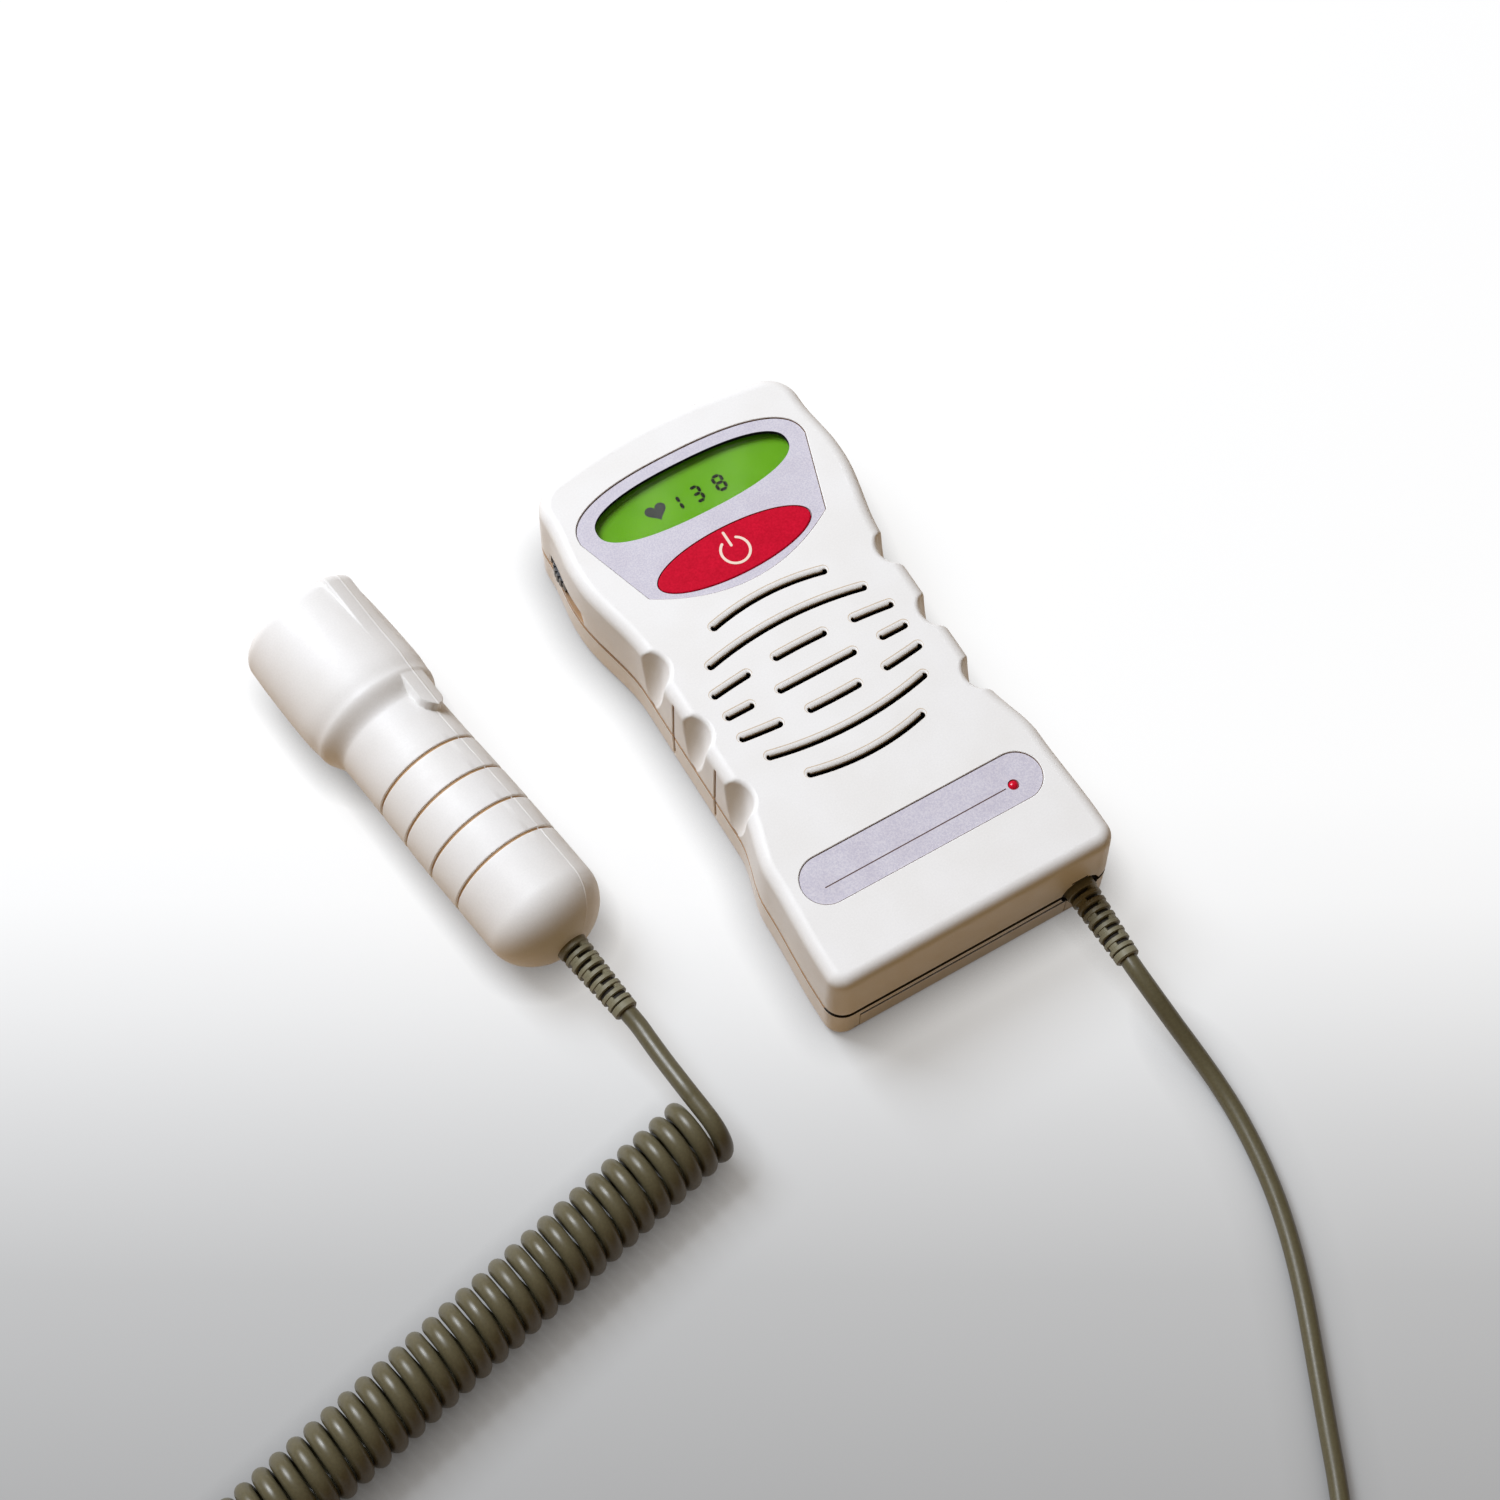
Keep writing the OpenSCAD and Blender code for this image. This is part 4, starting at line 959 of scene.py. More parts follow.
def slot_cutters():
    """The grille's slots: each far wall rolls over more than the near one"""
    rows = {
        0: [(-10.6, 10.6), (15.2, GRILLE_HALF), (-GRILLE_HALF, -15.2)],
        1: [(-7.4, 7.4), (12.1, GRILLE_HALF), (-GRILLE_HALF, -12.1)],
        2: [(2.8 - GRILLE_HALF, GRILLE_HALF - 2.8)],
        3: [(8.2 - GRILLE_HALF, GRILLE_HALF - 8.2)],
    }

    def roll(facing):
        return 0.97 + 0.81 * facing

    cutters = []
    for k in range(-3, 4):
        for low_x, high_x in rows[abs(k)]:
            rim = slot_outline(low_x, high_x, GRIP_Y + k * SLOT_PITCH, k * SLOT_BOW / 2, SLOT_W)
            rings = [at_height(grown(rim, lambda facing: -roll(facing)), PLATE_Z - 2)]
            for i in range(11):
                a = math.pi / 2 * i / 10
                lip = grown(rim, lambda facing: -roll(facing) * math.cos(a))
                ring = []
                for p, q in zip(rim, lip):
                    width = math.hypot(p[0] - q[0], p[1] - q[1]) / math.cos(a) if i < 10 else 0
                    drop = 1 - math.sqrt(1 - math.cos(a) ** 3)
                    ring.append((q[0], q[1], TOP_Z + 0.002 - ROLL_DEPTH * width * drop))
                rings.append(ring)
            rings.append(at_height(rim, TOP_Z + 1))
            cutters.append(rings)
    return cutters


def recess(outline, floor_z):
    """A shallow recess in the front face, with a slightly rounded rim"""
    rings = [at_height(outline, floor_z)]
    for i in range(5):
        a = math.pi / 2 * i / 4
        rim = 0.22
        rings.append(at_height(grown(outline, rim * (1 - math.cos(a))),
                               TOP_Z + 0.006 - rim * (1 - math.sin(a))))
    rings.append(at_height(grown(outline, 0.22), TOP_Z + 1))
    return rings


def lying(rings, x, z):
    """Rings round an upright axis, laid along Y through (x, z)"""
    return [[(p[0] + x, p[2], z - p[1]) for p in ring] for ring in rings]


def upright(places, r, low, high, sides=32):
    return [prism(circle(x, y, r, sides), low, high) for x, y in places]


CASE_SCREWS = [(sx * x, y) for x, y in ((22.5, 62.5), (half_width(-26) - 5.6, -26)) for sx in (-1, 1)]
DISPLAY_POSTS = [(-12, 61), (12, 61), (-18.5, 23), (18.5, 23)]
BOARD_POSTS = [(-14, 57), (14, 57), (-18.5, -24), (18.5, -24)]
BOSS_TOP = 4.2
DISPLAY_BOARD_Z = 20.3
MAIN_BOARD_Z = 7
WHEEL_Y = 51.3
WHEEL_R = 8.5
WHEEL_X = -(half_width(WHEEL_Y) + 0.7 - WHEEL_R)
WHEEL_SLOT = [12.15, 16.05]
DISH_R = 40
DISH_DEPTH = 1.2
COUNTERBORE = 1.1
COUNTERBORE_DEPTH = 0.9


def make_front_shell():
    piece = case_skin("monitor_front_shell", front_profile())
    room = [(z, WALL_T) for z in (SEAM_Z - 1, 12.5, 14, 16, 18, 20, 22, 24, PLATE_Z)]
    combine(piece, loft("room", [case_ring(z, d, SCALLOP_WALL) for z, d in room]))
    combine(piece, lofts("posts", upright(CASE_SCREWS, 3, BOSS_TOP, PLATE_Z + 0.5)
                         + upright(DISPLAY_POSTS, 2, DISPLAY_BOARD_Z, PLATE_Z + 0.5)), "UNION")
    light = circle(*LIGHT_AT, LED_R + LED_GAP)
    through = [prism(hole, PLATE_Z - 1, TOP_Z + 1) for hole in (window_outline(), key_outline(), light)]
    combine(piece, lofts("holes", slot_cutters() + through
                         + upright(CASE_SCREWS, 1.25, BOSS_TOP - 1, 18)
                         + upright(DISPLAY_POSTS, 0.95, DISPLAY_BOARD_Z - 1.6, 23.8)))
    combine(piece, lofts("recesses", [
        recess(fascia_outline(), FASCIA_Z),
        recess(stadium(LABEL_L + 2 * SHEET_GAP, LABEL_H + 2 * SHEET_GAP), LABEL_Z),
    ]))
    dish_x = -half_width(WHEEL_Y) - DISH_R + DISH_DEPTH
    combine(piece, lofts("pockets", [
        block((-SEAT_HALF, SEAT_LOW, PLATE_Z - 1), (SEAT_HALF, SEAT_HIGH, LENS_TOP)),
        prism(circle(WHEEL_X, WHEEL_Y, WHEEL_R + 0.6, 96), *WHEEL_SLOT),
        gland_cutter(RELIEF_R + 0.05, 4, 3),
    ]))
    combine(piece, lofts("dishes", [
        prism(circle(dish_x, WHEEL_Y, DISH_R, 360), *WHEEL_SLOT),
        gland_cutter(RELIEF_R + COUNTERBORE, COUNTERBORE_DEPTH, 3),
    ]))
    paint(piece, front_painted_shade)
    shade(piece)
    stand_for(piece, "monitor", "casing", "front_shell")


def front_painted_shade(at, normal):
    """Painted shade: black on the slots' walls, the window's wall and the cord hole's counterbore, tan
    round the slots' rims, brown on the recess walls and the dish's ledges
    """
    in_grille = abs(at.x) < GRILLE_HALF + 0.5 and abs(at.y - GRIP_Y) < 3.5 * SLOT_PITCH
    if in_grille and abs(normal.z) < 0.1 and PLATE_Z - 0.1 < at.z < TOP_Z - 0.05:
        return BLACK_SHADE
    if in_grille and PLATE_Z < at.z < TOP_Z - 0.0005:
        return RIM_SHADE if at.z > TOP_Z - 0.008 or normal.z < 0.66 else None
    if abs(at.x) < 26 and 42 < at.y < 58.5 and PLATE_Z - 0.5 < at.z < FASCIA_Z - 0.01:
        return BLACK_SHADE
    if abs(normal.z) < 0.3 and FASCIA_Z < at.z < TOP_Z - 0.2 and abs(at.x) < 30:
        return BROWN_SHADE
    if near_cord(at):
        return GAP_SHADE
    in_dish = at.x < -30 and abs(at.y - WHEEL_Y) < 10.5
    if in_dish and WHEEL_SLOT[0] - 0.1 < at.z < WHEEL_SLOT[1] + 0.1 and abs(normal.z) > 0.9:
        return BROWN_SHADE
    return None


def near_cord(at):
    """Whether a place is in the counterbore round the monitor's strain relief"""
    gland = GLAND_AT / MM
    off_axis = math.hypot(at.x - gland.x, at.z - gland.z)
    return at.y < gland.y + 1 and off_axis < RELIEF_R + COUNTERBORE + 0.02


def gland_cutter(r, inwards, outwards):
    """A round cutter through the cord end's wall"""
    gland = GLAND_AT / MM
    return lying(prism(circle(0, 0, r, 48), gland.y - outwards, gland.y + inwards), gland.x, gland.z)


DOOR_X = -2.7
DOOR_W = 51.8
DOOR_L = 37
DOOR_GAP = 0.2
FLANGE = 1.2
FLANGE_Z = 1
RAIL_W = 2.8
RAIL_T = 1.2
LIP_H = 8
LIP_GAP = 0.5
LIP_SHADE = 0.5


def make_rear_shell():
    piece = case_skin("monitor_rear_shell", rear_profile())
    combine(piece, loft("room", [case_ring(z, WALL_T) for z in (FLOOR_T, SEAM_Z + 1)]))
    half = DOOR_W / 2 + DOOR_GAP
    inner_y = -CASE_END + DOOR_L + DOOR_GAP
    outer_y = -CASE_END - 1
    combine(piece, lofts("way", [block((DOOR_X - half, outer_y, -1), (DOOR_X + half, inner_y, 4.2))]))
    combine(piece, lofts("flanges", [
        block((DOOR_X - half - FLANGE, outer_y, FLANGE_Z), (DOOR_X + half + FLANGE, inner_y, FLOOR_T))
    ]))
    combine(piece, lofts("lip", [
        block((DOOR_X - half, outer_y, -1), (DOOR_X + half, -CASE_END + WALL_T + 0.5, LIP_H + LIP_GAP))
    ]))
    rails = []
    for side in (-1, 1):
        near, far = DOOR_X + side * DOOR_W / 2, DOOR_X + side * (DOOR_W / 2 + RAIL_W)
        rails.append(block((min(near, far), -CASE_END + WALL_T - 0.1, FLOOR_T),
                           (max(near, far), inner_y + 0.8, FLOOR_T + RAIL_T)))
    combine(piece, lofts("rails", rails), "UNION")
    combine(piece, lofts("posts", upright(CASE_SCREWS, 3.6, FLOOR_T - 0.3, BOSS_TOP)
                         + upright(BOARD_POSTS, 2.5, FLOOR_T - 0.3, MAIN_BOARD_Z)), "UNION")
    combine(piece, lofts("bores", upright(CASE_SCREWS, 2.9, -1, 2.4)
                         + upright(BOARD_POSTS, 0.95, 3.8, MAIN_BOARD_Z + 1)
                         + [gland_cutter(RELIEF_R + 0.05, 4, 3)]))
    combine(piece, lofts("shanks", upright(CASE_SCREWS, 1.5, -1, 5)
                         + [gland_cutter(RELIEF_R + COUNTERBORE, COUNTERBORE_DEPTH, 3)]))

    # Painted shade: black over the door's lip and in the cord hole's counterbore
    def rear_painted_shade(at, _):
        by_lip = -CASE_END + 0.02 < at.y < -CASE_END + 3 and abs(at.x - DOOR_X) < half
        over_lip = LIP_H < at.z < LIP_H + LIP_GAP + 0.05
        return GAP_SHADE if by_lip and over_lip or near_cord(at) else None

    paint(piece, rear_painted_shade)
    shade(piece)
    stand_for(piece, "monitor", "casing", "rear_shell")


make_front_shell()
make_rear_shell()


# ---------- fascia, label, button and display ----------


def sheet_rings(outline, low, high, edge=0.07):
    return [at_height(outline, low), at_height(outline, high - edge),
            at_height(grown(outline, -0.4 * edge), high - 0.3 * edge),
            at_height(grown(outline, -edge), high)]


def make_fascia_sheet():
    piece = loft("fascia_film", sheet_rings(grown(fascia_outline(), -SHEET_GAP), FASCIA_Z, FASCIA_TOP))
    dress(piece, "fascia", "mask")
    holes = [prism(hole, FASCIA_Z - 1, FASCIA_TOP + 1) for hole in (window_outline(), key_outline())]
    combine(piece, lofts("holes", holes))

    # Painted shade: the wall of the window's hole in the sheet is black
    def window_edge(at, normal):
        in_window = abs(at.x) < WINDOW_W / 2 + 0.1 and abs(at.y - WINDOW_Y) < WINDOW_H / 2 + 0.1
        return 1 if abs(normal.z) < 0.3 and in_window else None

    paint(piece, window_edge)
    shade(piece)
    stand_for(piece, "monitor", "fascia", "display_fascia")


def make_label():
    piece = loft("label_film", sheet_rings(stadium(LABEL_L, LABEL_H), LABEL_Z, LABEL_TOP, 0.05))
    dress(piece, "fascia")
    hole = prism(circle(*LIGHT_AT, LED_R + LED_GAP), LABEL_Z - 0.3, LABEL_TOP + 0.3)
    combine(piece, lofts("hole", [hole]))
    shade(piece)
    stand_for(piece, "monitor", "fascia", "label_plate")
    rule = stroke_outline(RULE_ENDS, RULE_W)
    line = loft("label_rule", prism(rule, LABEL_TOP - 0.02, LABEL_TOP + INK_T / 2))
    dress(line, "brown_ink")
    shade(line)
    stand_for(line, "monitor", "fascia")


def stroke_outline(points, width):
    """A line of a pen with a round tip, as a closed outline"""
    r = width / 2
    right, left = [], []
    for i, p in enumerate(points):
        before, after = points[max(i - 1, 0)], points[min(i + 1, len(points) - 1)]
        run = Vector((after[0] - before[0], after[1] - before[1])).normalized()
        right.append((p[0] + r * run.y, p[1] - r * run.x))
        left.append((p[0] - r * run.y, p[1] + r * run.x))
        heading = math.atan2(run.y, run.x)
        if i == 0:
            first = heading
    tip = [(points[-1][0] + r * math.cos(heading + a), points[-1][1] + r * math.sin(heading + a))
           for a in (math.radians(-90 + 22.5 * k) for k in range(1, 8))]
    root = [(points[0][0] + r * math.cos(first + a), points[0][1] + r * math.sin(first + a))
            for a in (math.radians(90 + 22.5 * k) for k in range(1, 8))]
    return right + tip + left[::-1] + root


KEY_FLANGE = 1
KEY_FLANGE_T = 0.7
KEY_EDGE = 0.3
KEY_CROWN = 0.06
SYMBOL_Y = 31.2
SYMBOL_R = 3.3
SYMBOL_PEN = 0.62
SYMBOL_STROKE = [(-0.2, 32.7), (-0.2, 36.3)]


def make_button():
    outline = super_ellipse(BUTTON_Y, BUTTON_W, BUTTON_H, 2)
    flange = super_ellipse(BUTTON_Y, BUTTON_W + 2 * KEY_FLANGE, BUTTON_H + 2 * KEY_FLANGE, 2)
    low, high = (corner.z for corner in box_mm("power_button"))
    ledge = low + KEY_FLANGE_T
    rings = [at_height(flange, low), at_height(flange, ledge), at_height(outline, ledge)]
    for i in range(7):
        a = math.pi / 2 * i / 6
        rings.append(at_height(grown(outline, -KEY_EDGE * (1 - math.cos(a))),
                               high - KEY_CROWN - KEY_EDGE * (1 - math.sin(a))))
    for share in (0.85, 0.6, 0.3, 0.02):
        crown = [(p[0] * share, BUTTON_Y + (p[1] - BUTTON_Y) * share) for p in grown(outline, -KEY_EDGE)]
        rings.append(at_height(crown, high - KEY_CROWN * share * share))
    piece = loft("power_key_cap", rings)
    dress(piece, "red_button")
    shade(piece)
    stand_for(piece, "power_key", "red_button", "power_button")
    arc = [(SYMBOL_R * math.cos(math.radians(a)), SYMBOL_Y + SYMBOL_R * math.sin(math.radians(a)))
           for a in range(125, 424, 7)]
    strokes = [stroke_outline(points, SYMBOL_PEN) for points in (arc, SYMBOL_STROKE)]
    symbol = lofts("power_symbol", [prism(s, high - 0.05, high + 0.03) for s in strokes])
    dress(symbol, "cream_ink")
    shade(symbol)
    stand_for(symbol, "power_key", "red_button")


def bar(a, b, width):
    """A segment of a digit, with pointed ends"""
    a, b = Vector(a), Vector(b)
    run = (b - a).normalized()
    side = Vector((-run.y, run.x)) * width / 2
    tip = run * width / 2
    return [tuple(p) for p in (a, a + tip - side, b - tip - side, b, b - tip + side, a + tip + side)]


DIGIT_LOW, DIGIT_HIGH = 46.8, 51.4
BAR_W = 0.8
BAR_GAP = 0.08
DIGITS = [
    (-6.2, -3.5, (0, 1, 1, 0, 0, 0, 0)), (-0.8, 1.9, (1, 1, 1, 1, 0, 0, 1)),
    (4.9, 7.7, (1, 1, 1, 1, 1, 1, 1)),
]
HEART_AT = (-9.6, 49.75)
HEART_HALF_W = 2.55
HEART_HALF_H = 2.1


def digit(left, right, lit):
    """Seven segments: top, upper right, lower right, bottom, lower left, upper left, middle"""
    x0, x1 = left + BAR_W / 2, right - BAR_W / 2
    y0, y1, y2 = DIGIT_LOW + BAR_W / 2, (DIGIT_LOW + DIGIT_HIGH) / 2, DIGIT_HIGH - BAR_W / 2
    level = [((x0 + BAR_GAP, y), (x1 - BAR_GAP, y)) for y in (y0, y1, y2)]
    lower = [((x, y0 + BAR_GAP), (x, y1 - BAR_GAP)) for x in (x0, x1)]
    upper = [((x, y1 + BAR_GAP), (x, y2 - BAR_GAP)) for x in (x0, x1)]
    ends = [level[2], upper[1], lower[1], level[0], lower[0], upper[0], level[1]]
    return [bar(a, b, BAR_W) for (a, b), on in zip(ends, lit) if on]


def make_readout():
    glass_top = box_mm("display_glass")[1].z
    bars = [outline for place in DIGITS for outline in digit(*place)]
    heart = []
    for i in range(60):
        t = 2 * math.pi * i / 60
        x = math.sin(t) ** 3
        y = (13 * math.cos(t) - 5 * math.cos(2 * t) - 2 * math.cos(3 * t) - math.cos(4 * t)) / 14
        heart.append((HEART_AT[0] - x * HEART_HALF_W, HEART_AT[1] + y * HEART_HALF_H))
    for name, outlines, ink in (
        ("display_digits", bars, "dark_ink"), ("display_heart", [heart], "grey_ink"),
    ):
        piece = lofts(name, [prism(outline, glass_top, glass_top + INK_T) for outline in outlines])
        dress(piece, ink)
        stand_for(piece, "monitor", "green_display")


def make_indicator():
    low, high = (corner.z for corner in box_mm("indicator_light"))
    rows = [(low, LED_R + 0.4), (low + 1, LED_R + 0.4), (low + 1, LED_R), (high - 0.9, LED_R)]
    for i in range(1, 8):
        a = math.pi / 2 * i / 7.6
        rows.append((high - 0.9 + 0.9 * math.sin(a), LED_R * math.cos(a)))
    piece = loft("indicator_lens", [at_height(circle(*LIGHT_AT, r, 40), z) for z, r in rows])
    dress(piece, "red_light")
    shade(piece)
    stand_for(piece, "monitor", "red_light", "indicator_light")


TEETH = 36
TOOTH = ((0, 0.5), (0.14, 0.5), (0.22, 0.1), (0.36, 0), (0.78, 0), (0.92, 0.1))
WHEEL_EDGE = ((0.25, 0), (0.05, 0.2), (0, 0.35))


def make_volume_wheel():
    """The wheel's teeth are rounded bars between narrow gaps, with a painted highlight on their crests
    """
    low, high = (corner.z for corner in box_mm("volume_wheel"))

    def rim(inset):
        points = []
        for i in range(TEETH):
            for share, drop in TOOTH:
                a = 2 * math.pi * (i + share) / TEETH
                r = WHEEL_R - inset - drop
                points.append((WHEEL_X + r * math.cos(a), WHEEL_Y + r * math.sin(a)))
        return points

    rings = [at_height(rim(inset), low + up) for inset, up in WHEEL_EDGE]
    rings += [at_height(rim(inset), high - up) for inset, up in reversed(WHEEL_EDGE)]
    piece = loft("thumbwheel", rings)
    dress(piece, "black_plastic", "painted_tooth_highlight")
    combine(piece, lofts("hole", [prism(circle(WHEEL_X, WHEEL_Y, 2), low - 1, high + 1)]))
    paint(piece, lambda at, _: 1 if math.hypot(at.x - WHEEL_X, at.y - WHEEL_Y) > WHEEL_R - 0.2 else None)
    shade(piece)
    stand_for(piece, "volume_control", "black_plastic", "volume_wheel")


make_fascia_sheet()
make_label()
make_button()
make_readout()
make_indicator()
make_volume_wheel()


# ---------- probe ----------

PROBE_L = 99
PROBE_R = 13.5
HEAD_R = 15.6
PROBE_WAIST_R = 12.9
SHOULDER_S = 0.707 * PROBE_L
HANDLE_END = SHOULDER_S - 8.5
DOME_L = 11
RING_S = [22.9 + 9.2 * k for k in range(4)]
RING_DEPTH = 0.5
TONGUE_R = 3.7
TONGUE_S = SHOULDER_S - 7.5
PROBE_SEAM = math.radians(47)
FACE_R = 11.8
SEAT_R = FACE_R + 0.05
SEAT_DEPTH = 2.2
BACKING_R = 10.8
BACKING_S = PROBE_L - 11.2
PROBE_WALL = 2
TAIL_R = 3.66
NOSE_R = 3
NOSE_S = PROBE_L - NOSE_R


def body_radius(s):
    """Radius of the probe's skin, without its rings and tongue, at a place along it"""
    if s < DOME_L:
        return PROBE_R * math.sqrt(max(0, 1 - (1 - s / DOME_L) ** 2))
    if s < SHOULDER_S - 6:
        return PROBE_R - (PROBE_R - PROBE_WAIST_R) * ease((s - 30) / (HANDLE_END - 30))
    if s < SHOULDER_S:
        return PROBE_WAIST_R + (HEAD_R - 0.4 - PROBE_WAIST_R) * ease((s - SHOULDER_S + 6) / 6)
    swell = HEAD_R - 0.4 * ease((SHOULDER_S + 5 - s) / 5)
    return swell - 0.9 * ((s - SHOULDER_S) / (PROBE_L - SHOULDER_S)) ** 3


def tongue_lift(s, angle):
    """How much the tongue stands over the handle there; angle is measured from the seam"""
    across = 14 * abs(angle)
    if s < TONGUE_S:
        outside = math.hypot(TONGUE_S - s, across) - TONGUE_R
    else:
        outside = across - TONGUE_R
    top = HEAD_R - 1 + 0.5 * (s - TONGUE_S + TONGUE_R) / (SHOULDER_S + 1 - TONGUE_S + TONGUE_R)
    return ease((0.2 - outside) / 0.55) * max(0, top - body_radius(s))


def probe_stations():
    """Places along the probe: fine where rings, tongue and shoulder need it"""
    dome = [DOME_L * (1 - math.cos(math.radians(a))) for a in range(18, 91, 4)]
    off = (0.06, 0.16, 0.27, 0.42, 0.62)
    rings = [s + side * d for s in RING_S for side in (-1, 1) for d in off]
    plain = [14, 17, 20, 27, 36, 45.5, 53, 55, 57]
    fine = [58 + 0.28 * i for i in range(0, 50)]
    head = [72.5, 74, 76, 79, 82, 85, 88, 91, 93.5]
    return sorted(dome + rings + plain + fine + head)


def outer_rows():
    """Place, radius and kind of each row of the probe's skin"""
    rows = [(TAIL_S / MM, TAIL_R, "tail")]
    for s in probe_stations():
        near = min(abs(s - ring) for ring in RING_S)
        dip = RING_DEPTH * ease((0.5 - near) / 0.34)
        rows.append((s, body_radius(s) - dip, "ring" if near < 0.3 else "skin"))
    nose = body_radius(NOSE_S) - NOSE_R
    for i in range(9):
        a = math.pi / 2 * i / 8
        rows.append((NOSE_S + NOSE_R * math.sin(a), nose + NOSE_R * math.cos(a), "nose"))
    return rows


def inner_rows():
    """The face's seat, the backing's bore and the hollow handle, from the face to the tail"""
    tail_in = TAIL_S / MM + PROBE_WALL
    inner = PROBE_WAIST_R - PROBE_WALL
    head = HEAD_R - PROBE_WALL
    return [
        (PROBE_L, SEAT_R), (PROBE_L - SEAT_DEPTH, SEAT_R), (PROBE_L - SEAT_DEPTH, BACKING_R),
        (BACKING_S, BACKING_R), (BACKING_S - 0.8, head - 0.8), (SHOULDER_S + 3, head - 0.4),
        (SHOULDER_S - 4, inner), (tail_in + 7, inner), (tail_in, 5.4), (tail_in, TAIL_R),
    ]


def half_angles():
    """Angles from one seam to the other: fine at both, and round the tongue at the first"""
    near = [0, 0.9, 1.25, 1.8, 3, 5, 7, 9, 11]
    lip = [12 + 0.45 * i for i in range(13)]
    broad = [20, 22.5] + [25 + 4 * i for i in range(37)]
    far = [172, 175, 177, 178.2, 178.75, 179.1, 180]
    return [math.radians(a) for a in near + lip + broad + far]


def make_probe_half(name, node, side):
    """Half of the probe's shell: side is 1 for the upper half and -1 for the lower one"""
    outer, inner = outer_rows(), inner_rows()
    angles = half_angles()
    points, faces, marks = [], [], []
    seam = math.radians(1.1)
    for a in angles:
        turn = PROBE_SEAM + side * a
        direction = (math.cos(turn), -math.sin(turn))
        at_seam = min(a, math.pi - a) < seam
        for s, r, kind in outer:
            lift = tongue_lift(s, a) + (0.07 if at_seam and kind in ("skin", "nose") else 0)
            points.append(((r + lift) * direction[0], (r + lift) * direction[1], s))
        for s, r in inner:
            points.append((r * direction[0], r * direction[1], s))
    n = len(outer) + len(inner)
    for k in range(len(angles) - 1):
        # Painted highlight: the faces next to each seam are paler
        pale = min(angles[k + 1], math.pi - angles[k]) < seam
        for i in range(n):
            j = (i + 1) % n
            faces.append((k * n + i, k * n + j, (k + 1) * n + j, (k + 1) * n + i))
            # Painted shade: the faces in the ring grooves are tan
            in_ring = i + 1 < len(outer) and outer[i][2] == "ring" and outer[j][2] == "ring"
            marks.append(2 if pale and i + 1 < len(outer) and i > 0 else 1 if in_ring else 0)
    faces += [tuple(range(n)), tuple(range((len(angles) - 1) * n, len(angles) * n))]
    marks += [0, 0]
    piece = new_object(name, points, faces)
    dress(piece, "casing", "painted_ring_shade", "painted_seam_highlight")
    piece.data.polygons.foreach_set("material_index", marks)
    piece.data.transform(probe_placement())
    shade(piece, 40)
    stand_for(piece, "monitor", "casing", node)


def make_probe_face():
    """The transducer's face, slightly domed"""
    seat = PROBE_L - SEAT_DEPTH
    rows = [(seat, 0.02), (seat, FACE_R), (PROBE_L - 0.55, FACE_R), (PROBE_L - 0.38, FACE_R - 0.12)]
    rows += [(PROBE_L - 0.3 + 0.5 * (1 - (1 - i / 9) ** 2), FACE_R * (1 - i / 9) - 0.25 * (1 - i / 9))
             for i in range(9)]
    piece = loft("probe_window", [at_height(circle(0, 0, r, 96), s) for s, r in rows])
    piece.data.transform(probe_placement())
    dress(piece, "probe_lens")
    shade(piece)
    stand_for(piece, "monitor", "probe_lens", "probe_face")


make_probe_half("probe_upper_half", "probe_upper_shell", 1)
make_probe_half("probe_lower_half", "probe_lower_shell", -1)
make_probe_face()


# ---------- the CAD pieces that stay ----------


def make_door_plastic(lip_top):
    """Casing plastic with a painted shade of black along the upper edge of the door's lip, for the gap
    above it; lip_top is in metres
    """
    recipe = moulded("door_plastic", CASING, 0.46, 0.4, 0.010, 0.018, Specular_IOR_Level=0.35)
    height = recipe.add("SeparateXYZ", recipe.place).node.outputs["Z"]
    near_top = recipe.add("Math", height, lip_top - LIP_SHADE * MM, operation="GREATER_THAN")
    plain = recipe.shader.inputs["Base Color"].links[0].from_socket
    recipe.colour(recipe.mix(near_top, plain, (*PAINTED_GAP_BLACK, 1)))


def dress_cad_nodes():
    slots = {part["node"]: part["material_slot"] for part in frame["record"]["subparts"]}
    for name, node in frame["nodes"].items():
        if not node.hide_render:
            dress(node, slots[name])
            node.data.polygons.foreach_set("material_index", [0] * len(node.data.polygons))
    door = frame["nodes"]["battery_door"]
    make_door_plastic(max(corner[2] for corner in door.bound_box))
    dress(door, "door_plastic", "painted_gap_shade")
    # Painted shade: the top face of the door's lip is black, for the gap above it
    paint(door, lambda at, _: 1 if at.y < 3 - CASE_END and abs(at.z - LIP_H) < 0.05 else None)


dress_cad_nodes()


# ---------- floor and light ----------


FLOOR_HALF = 4
FLOOR_DROP = 0.00005
GREY_SPAN = 0.6
FLOOR_SHADES = [
    (0, 1.08), (0.45, 0.9), (0.667, 0.42), (0.782, 0.57), (0.843, 0.74), (0.883, 0.86),
    (0.925, 0.965), (0.967, 1.0),
]
NEAR_SHARE, FAR_SHARE = 0.833, 0.983
NEAR_GLOW, FAR_GLOW = 0.5, 0.82
NEAR_ALBEDO = (0.478, 0.485, 0.484, 1)
FAR_ALBEDO = (0.19, 0.192, 0.192, 1)
BOUNCE_COLOUR = (0.44, 0.265, 0.105, 1)
CONTACT_REACH = 0.009
CONTACT_POWER = 1.2


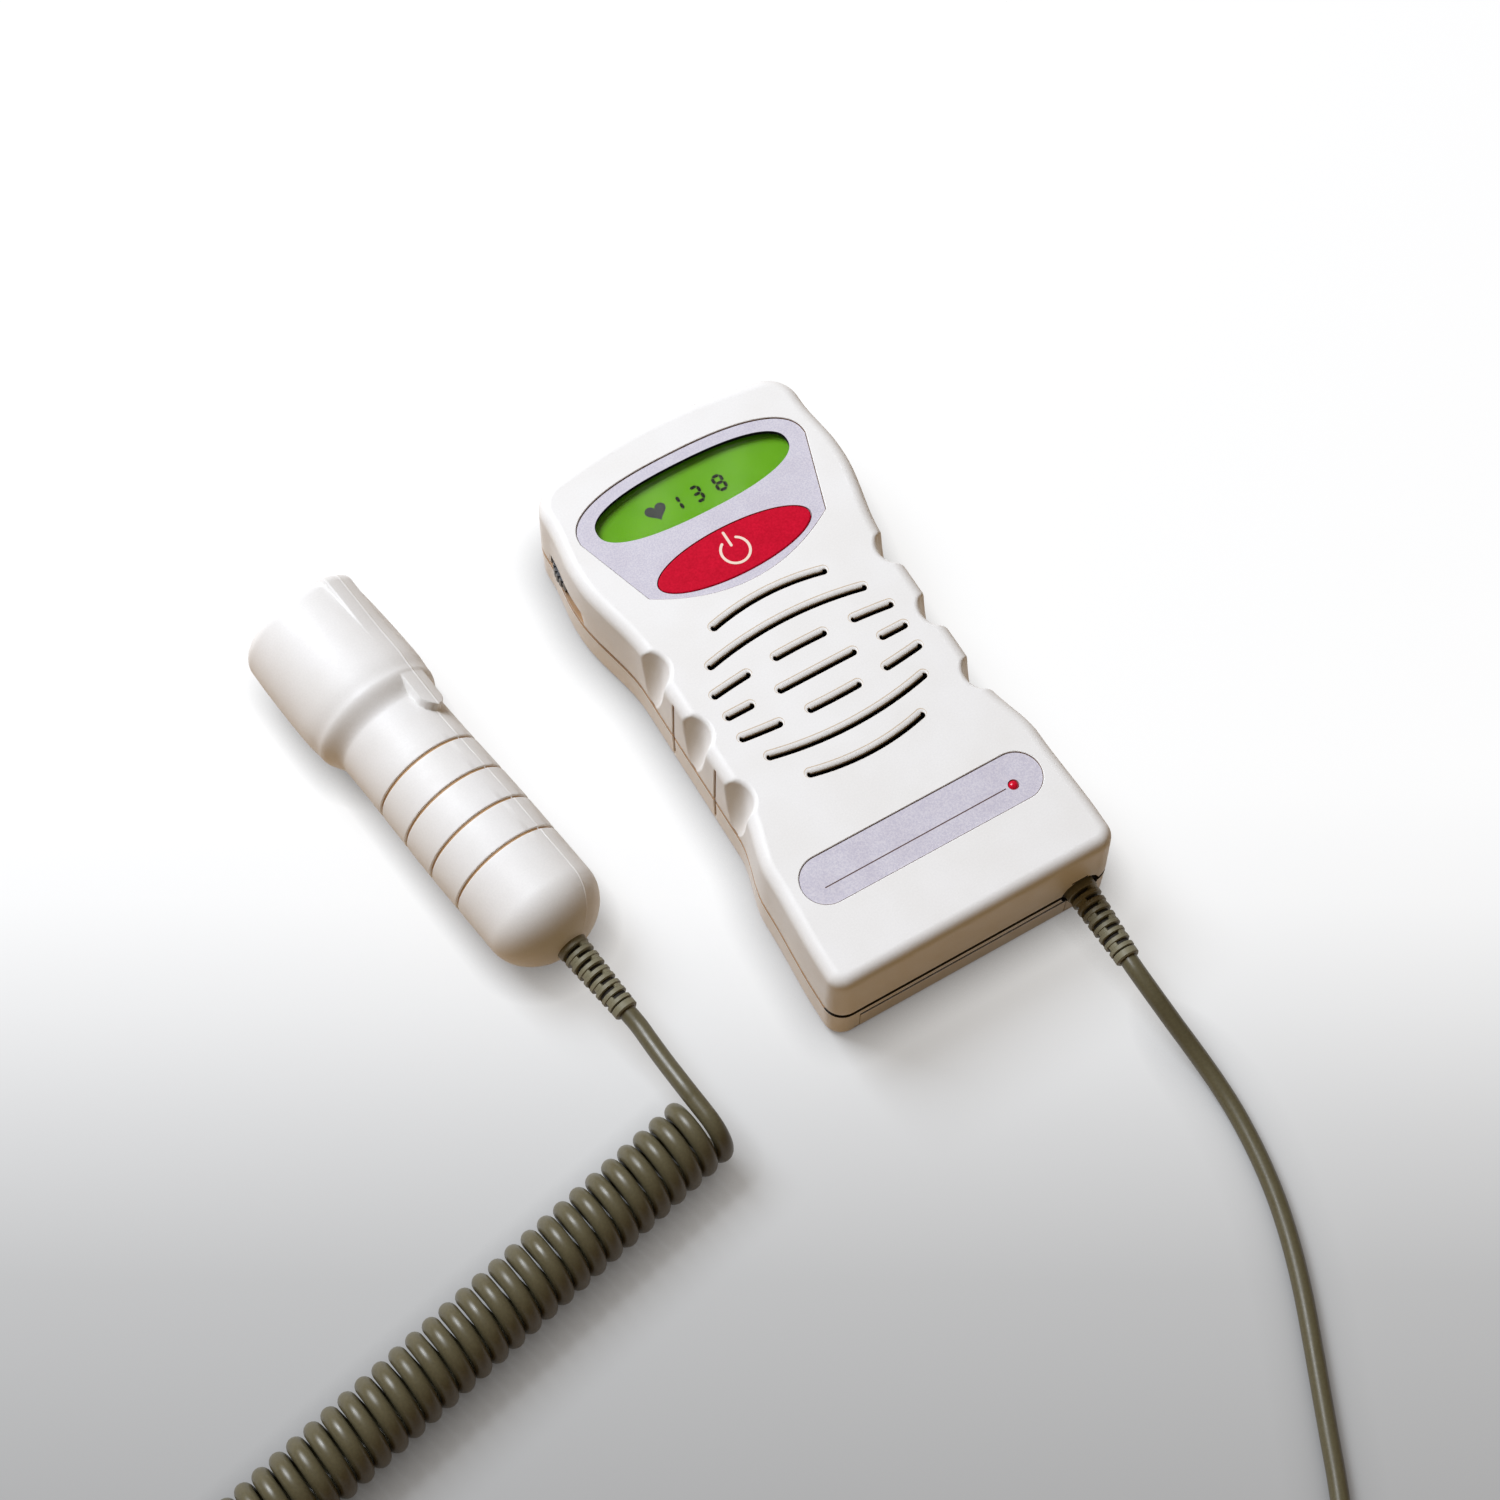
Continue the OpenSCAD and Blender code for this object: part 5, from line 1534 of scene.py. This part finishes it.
def make_floor():
    """A pale floor: white far off, light grey near the camera, with the object's shadow from the lamps
    on it and a painted contact shadow next to the object
    """
    corners = [(-FLOOR_HALF, -FLOOR_HALF, 0), (FLOOR_HALF, -FLOOR_HALF, 0),
               (FLOOR_HALF, FLOOR_HALF, 0), (-FLOOR_HALF, FLOOR_HALF, 0)]
    piece = new_object("floor", corners, [(0, 1, 2, 3)], 1)
    piece.location.z = -FLOOR_DROP
    material = bpy.data.materials.new("floor")
    material.use_nodes = True
    graph = Graph(material.node_tree)
    graph.nodes.clear()
    place = graph.add("TexCoord").node.outputs["Object"]
    ahead = (-math.sin(VIEW_AZIMUTH), math.cos(VIEW_AZIMUTH), 0)
    away = graph.add("VectorMath", place, ahead, operation="DOT_PRODUCT").node.outputs["Value"]
    span = graph.add("MapRange", away, -GREY_SPAN, 0)
    grey = graph.ramp(span, [(at, (level, level, level)) for at, level in FLOOR_SHADES])
    share = graph.add("MapRange", span, NEAR_SHARE, FAR_SHARE)
    # Painted contact shadow: ambient occlusion darkens the floor's glow next to the object
    contact = graph.add("AmbientOcclusion", Distance=CONTACT_REACH).node
    contact.samples = 8
    opened = graph.add("Math", contact.outputs["AO"], CONTACT_POWER, operation="POWER")
    glow = graph.add("MapRange", share, 0, 1, NEAR_GLOW, FAR_GLOW)
    albedo = graph.mix(share, NEAR_ALBEDO, FAR_ALBEDO)
    seen = graph.add(
        "AddShader", graph.add("BsdfDiffuse", graph.mix(1.0, grey, albedo, "MULTIPLY")),
        graph.add("Emission", grey, graph.add("Math", glow, opened, operation="MULTIPLY")),
    )
    ray = graph.add("LightPath").node.outputs
    direct = graph.add("Math", ray["Is Camera Ray"], ray["Is Glossy Ray"], operation="MAXIMUM")
    shown = graph.add("Math", direct, ray["Is Transmission Ray"], operation="MAXIMUM")
    surface = graph.add("MixShader", shown, graph.add("BsdfDiffuse", BOUNCE_COLOUR), seen)
    graph.feed(graph.nodes.new("ShaderNodeOutputMaterial").inputs["Surface"], surface)
    piece.data.materials.append(material)


def area_light(name, aim, direction, distance, size, watts, colour):
    data = bpy.data.lights.new(name, "AREA")
    data.shape = "RECTANGLE"
    data.size, data.size_y = size
    data.energy = watts
    data.color = colour
    lamp = bpy.data.objects.new(name, data)
    direction = Vector(direction).normalized()
    lamp.location = Vector(aim) + direction * distance
    lamp.rotation_mode = "QUATERNION"
    lamp.rotation_quaternion = direction.to_track_quat("Z", "Y")
    scene.collection.objects.link(lamp)
    return lamp


KEY_FROM = (-0.22, 0.555, 0.80)
KEY_DISTANCE = 1.6
KEY_SIZE = 0.775
KEY_WATTS = 32.4
KEY_COLOUR = (0.873, 0.921, 1.0)
FILL_COLOUR = (1.0, 0.66, 0.32, 1)
FILL_STRENGTH = 0.145


def make_lights():
    """A large cool key lamp from behind, and a warm fill from all round that the camera sees white"""
    area_light("key", (-0.03, 0, 0), KEY_FROM, KEY_DISTANCE, (KEY_SIZE, KEY_SIZE), KEY_WATTS, KEY_COLOUR)
    world = bpy.data.worlds.new("studio")
    world.use_nodes = True
    graph = Graph(world.node_tree)
    fill = graph.nodes["Background"]
    graph.feed(fill.inputs["Color"], FILL_COLOUR)
    graph.feed(fill.inputs["Strength"], FILL_STRENGTH)
    to_camera = graph.add("LightPath").node.outputs["Is Camera Ray"]
    white = graph.add("Background", (1, 1, 1, 1))
    sky = graph.add("MixShader", to_camera, fill.outputs["Background"], white)
    graph.feed(graph.nodes["World Output"].inputs["Surface"], sky)
    scene.world = world


GLARES = (("glare_left", -9.5, 0.016), ("glare_right", 9.5, 0.012))
GLARE_LENGTH = 0.12
GLARE_WATTS = 0.00032
GLARE_COLOUR = (0.95, 1, 0.9)
GLARE_SPREAD = math.radians(60)


def make_glare():
    """Two narrow lamps, each of which the display window mirrors towards the camera"""
    eye = scene.camera.location
    for name, x, width in GLARES:
        spot = Vector((x, WINDOW_Y, LENS_TOP)) * MM
        back = (eye - spot).normalized()
        mirrored = Vector((-back.x, -back.y, back.z))
        size = (width, GLARE_LENGTH)
        lamp = area_light(name, spot, mirrored, VIEW_DISTANCE, size, GLARE_WATTS, GLARE_COLOUR)
        lamp.data.spread = GLARE_SPREAD


make_floor()
make_lights()
make_glare()

scene.view_settings.view_transform = "Standard"
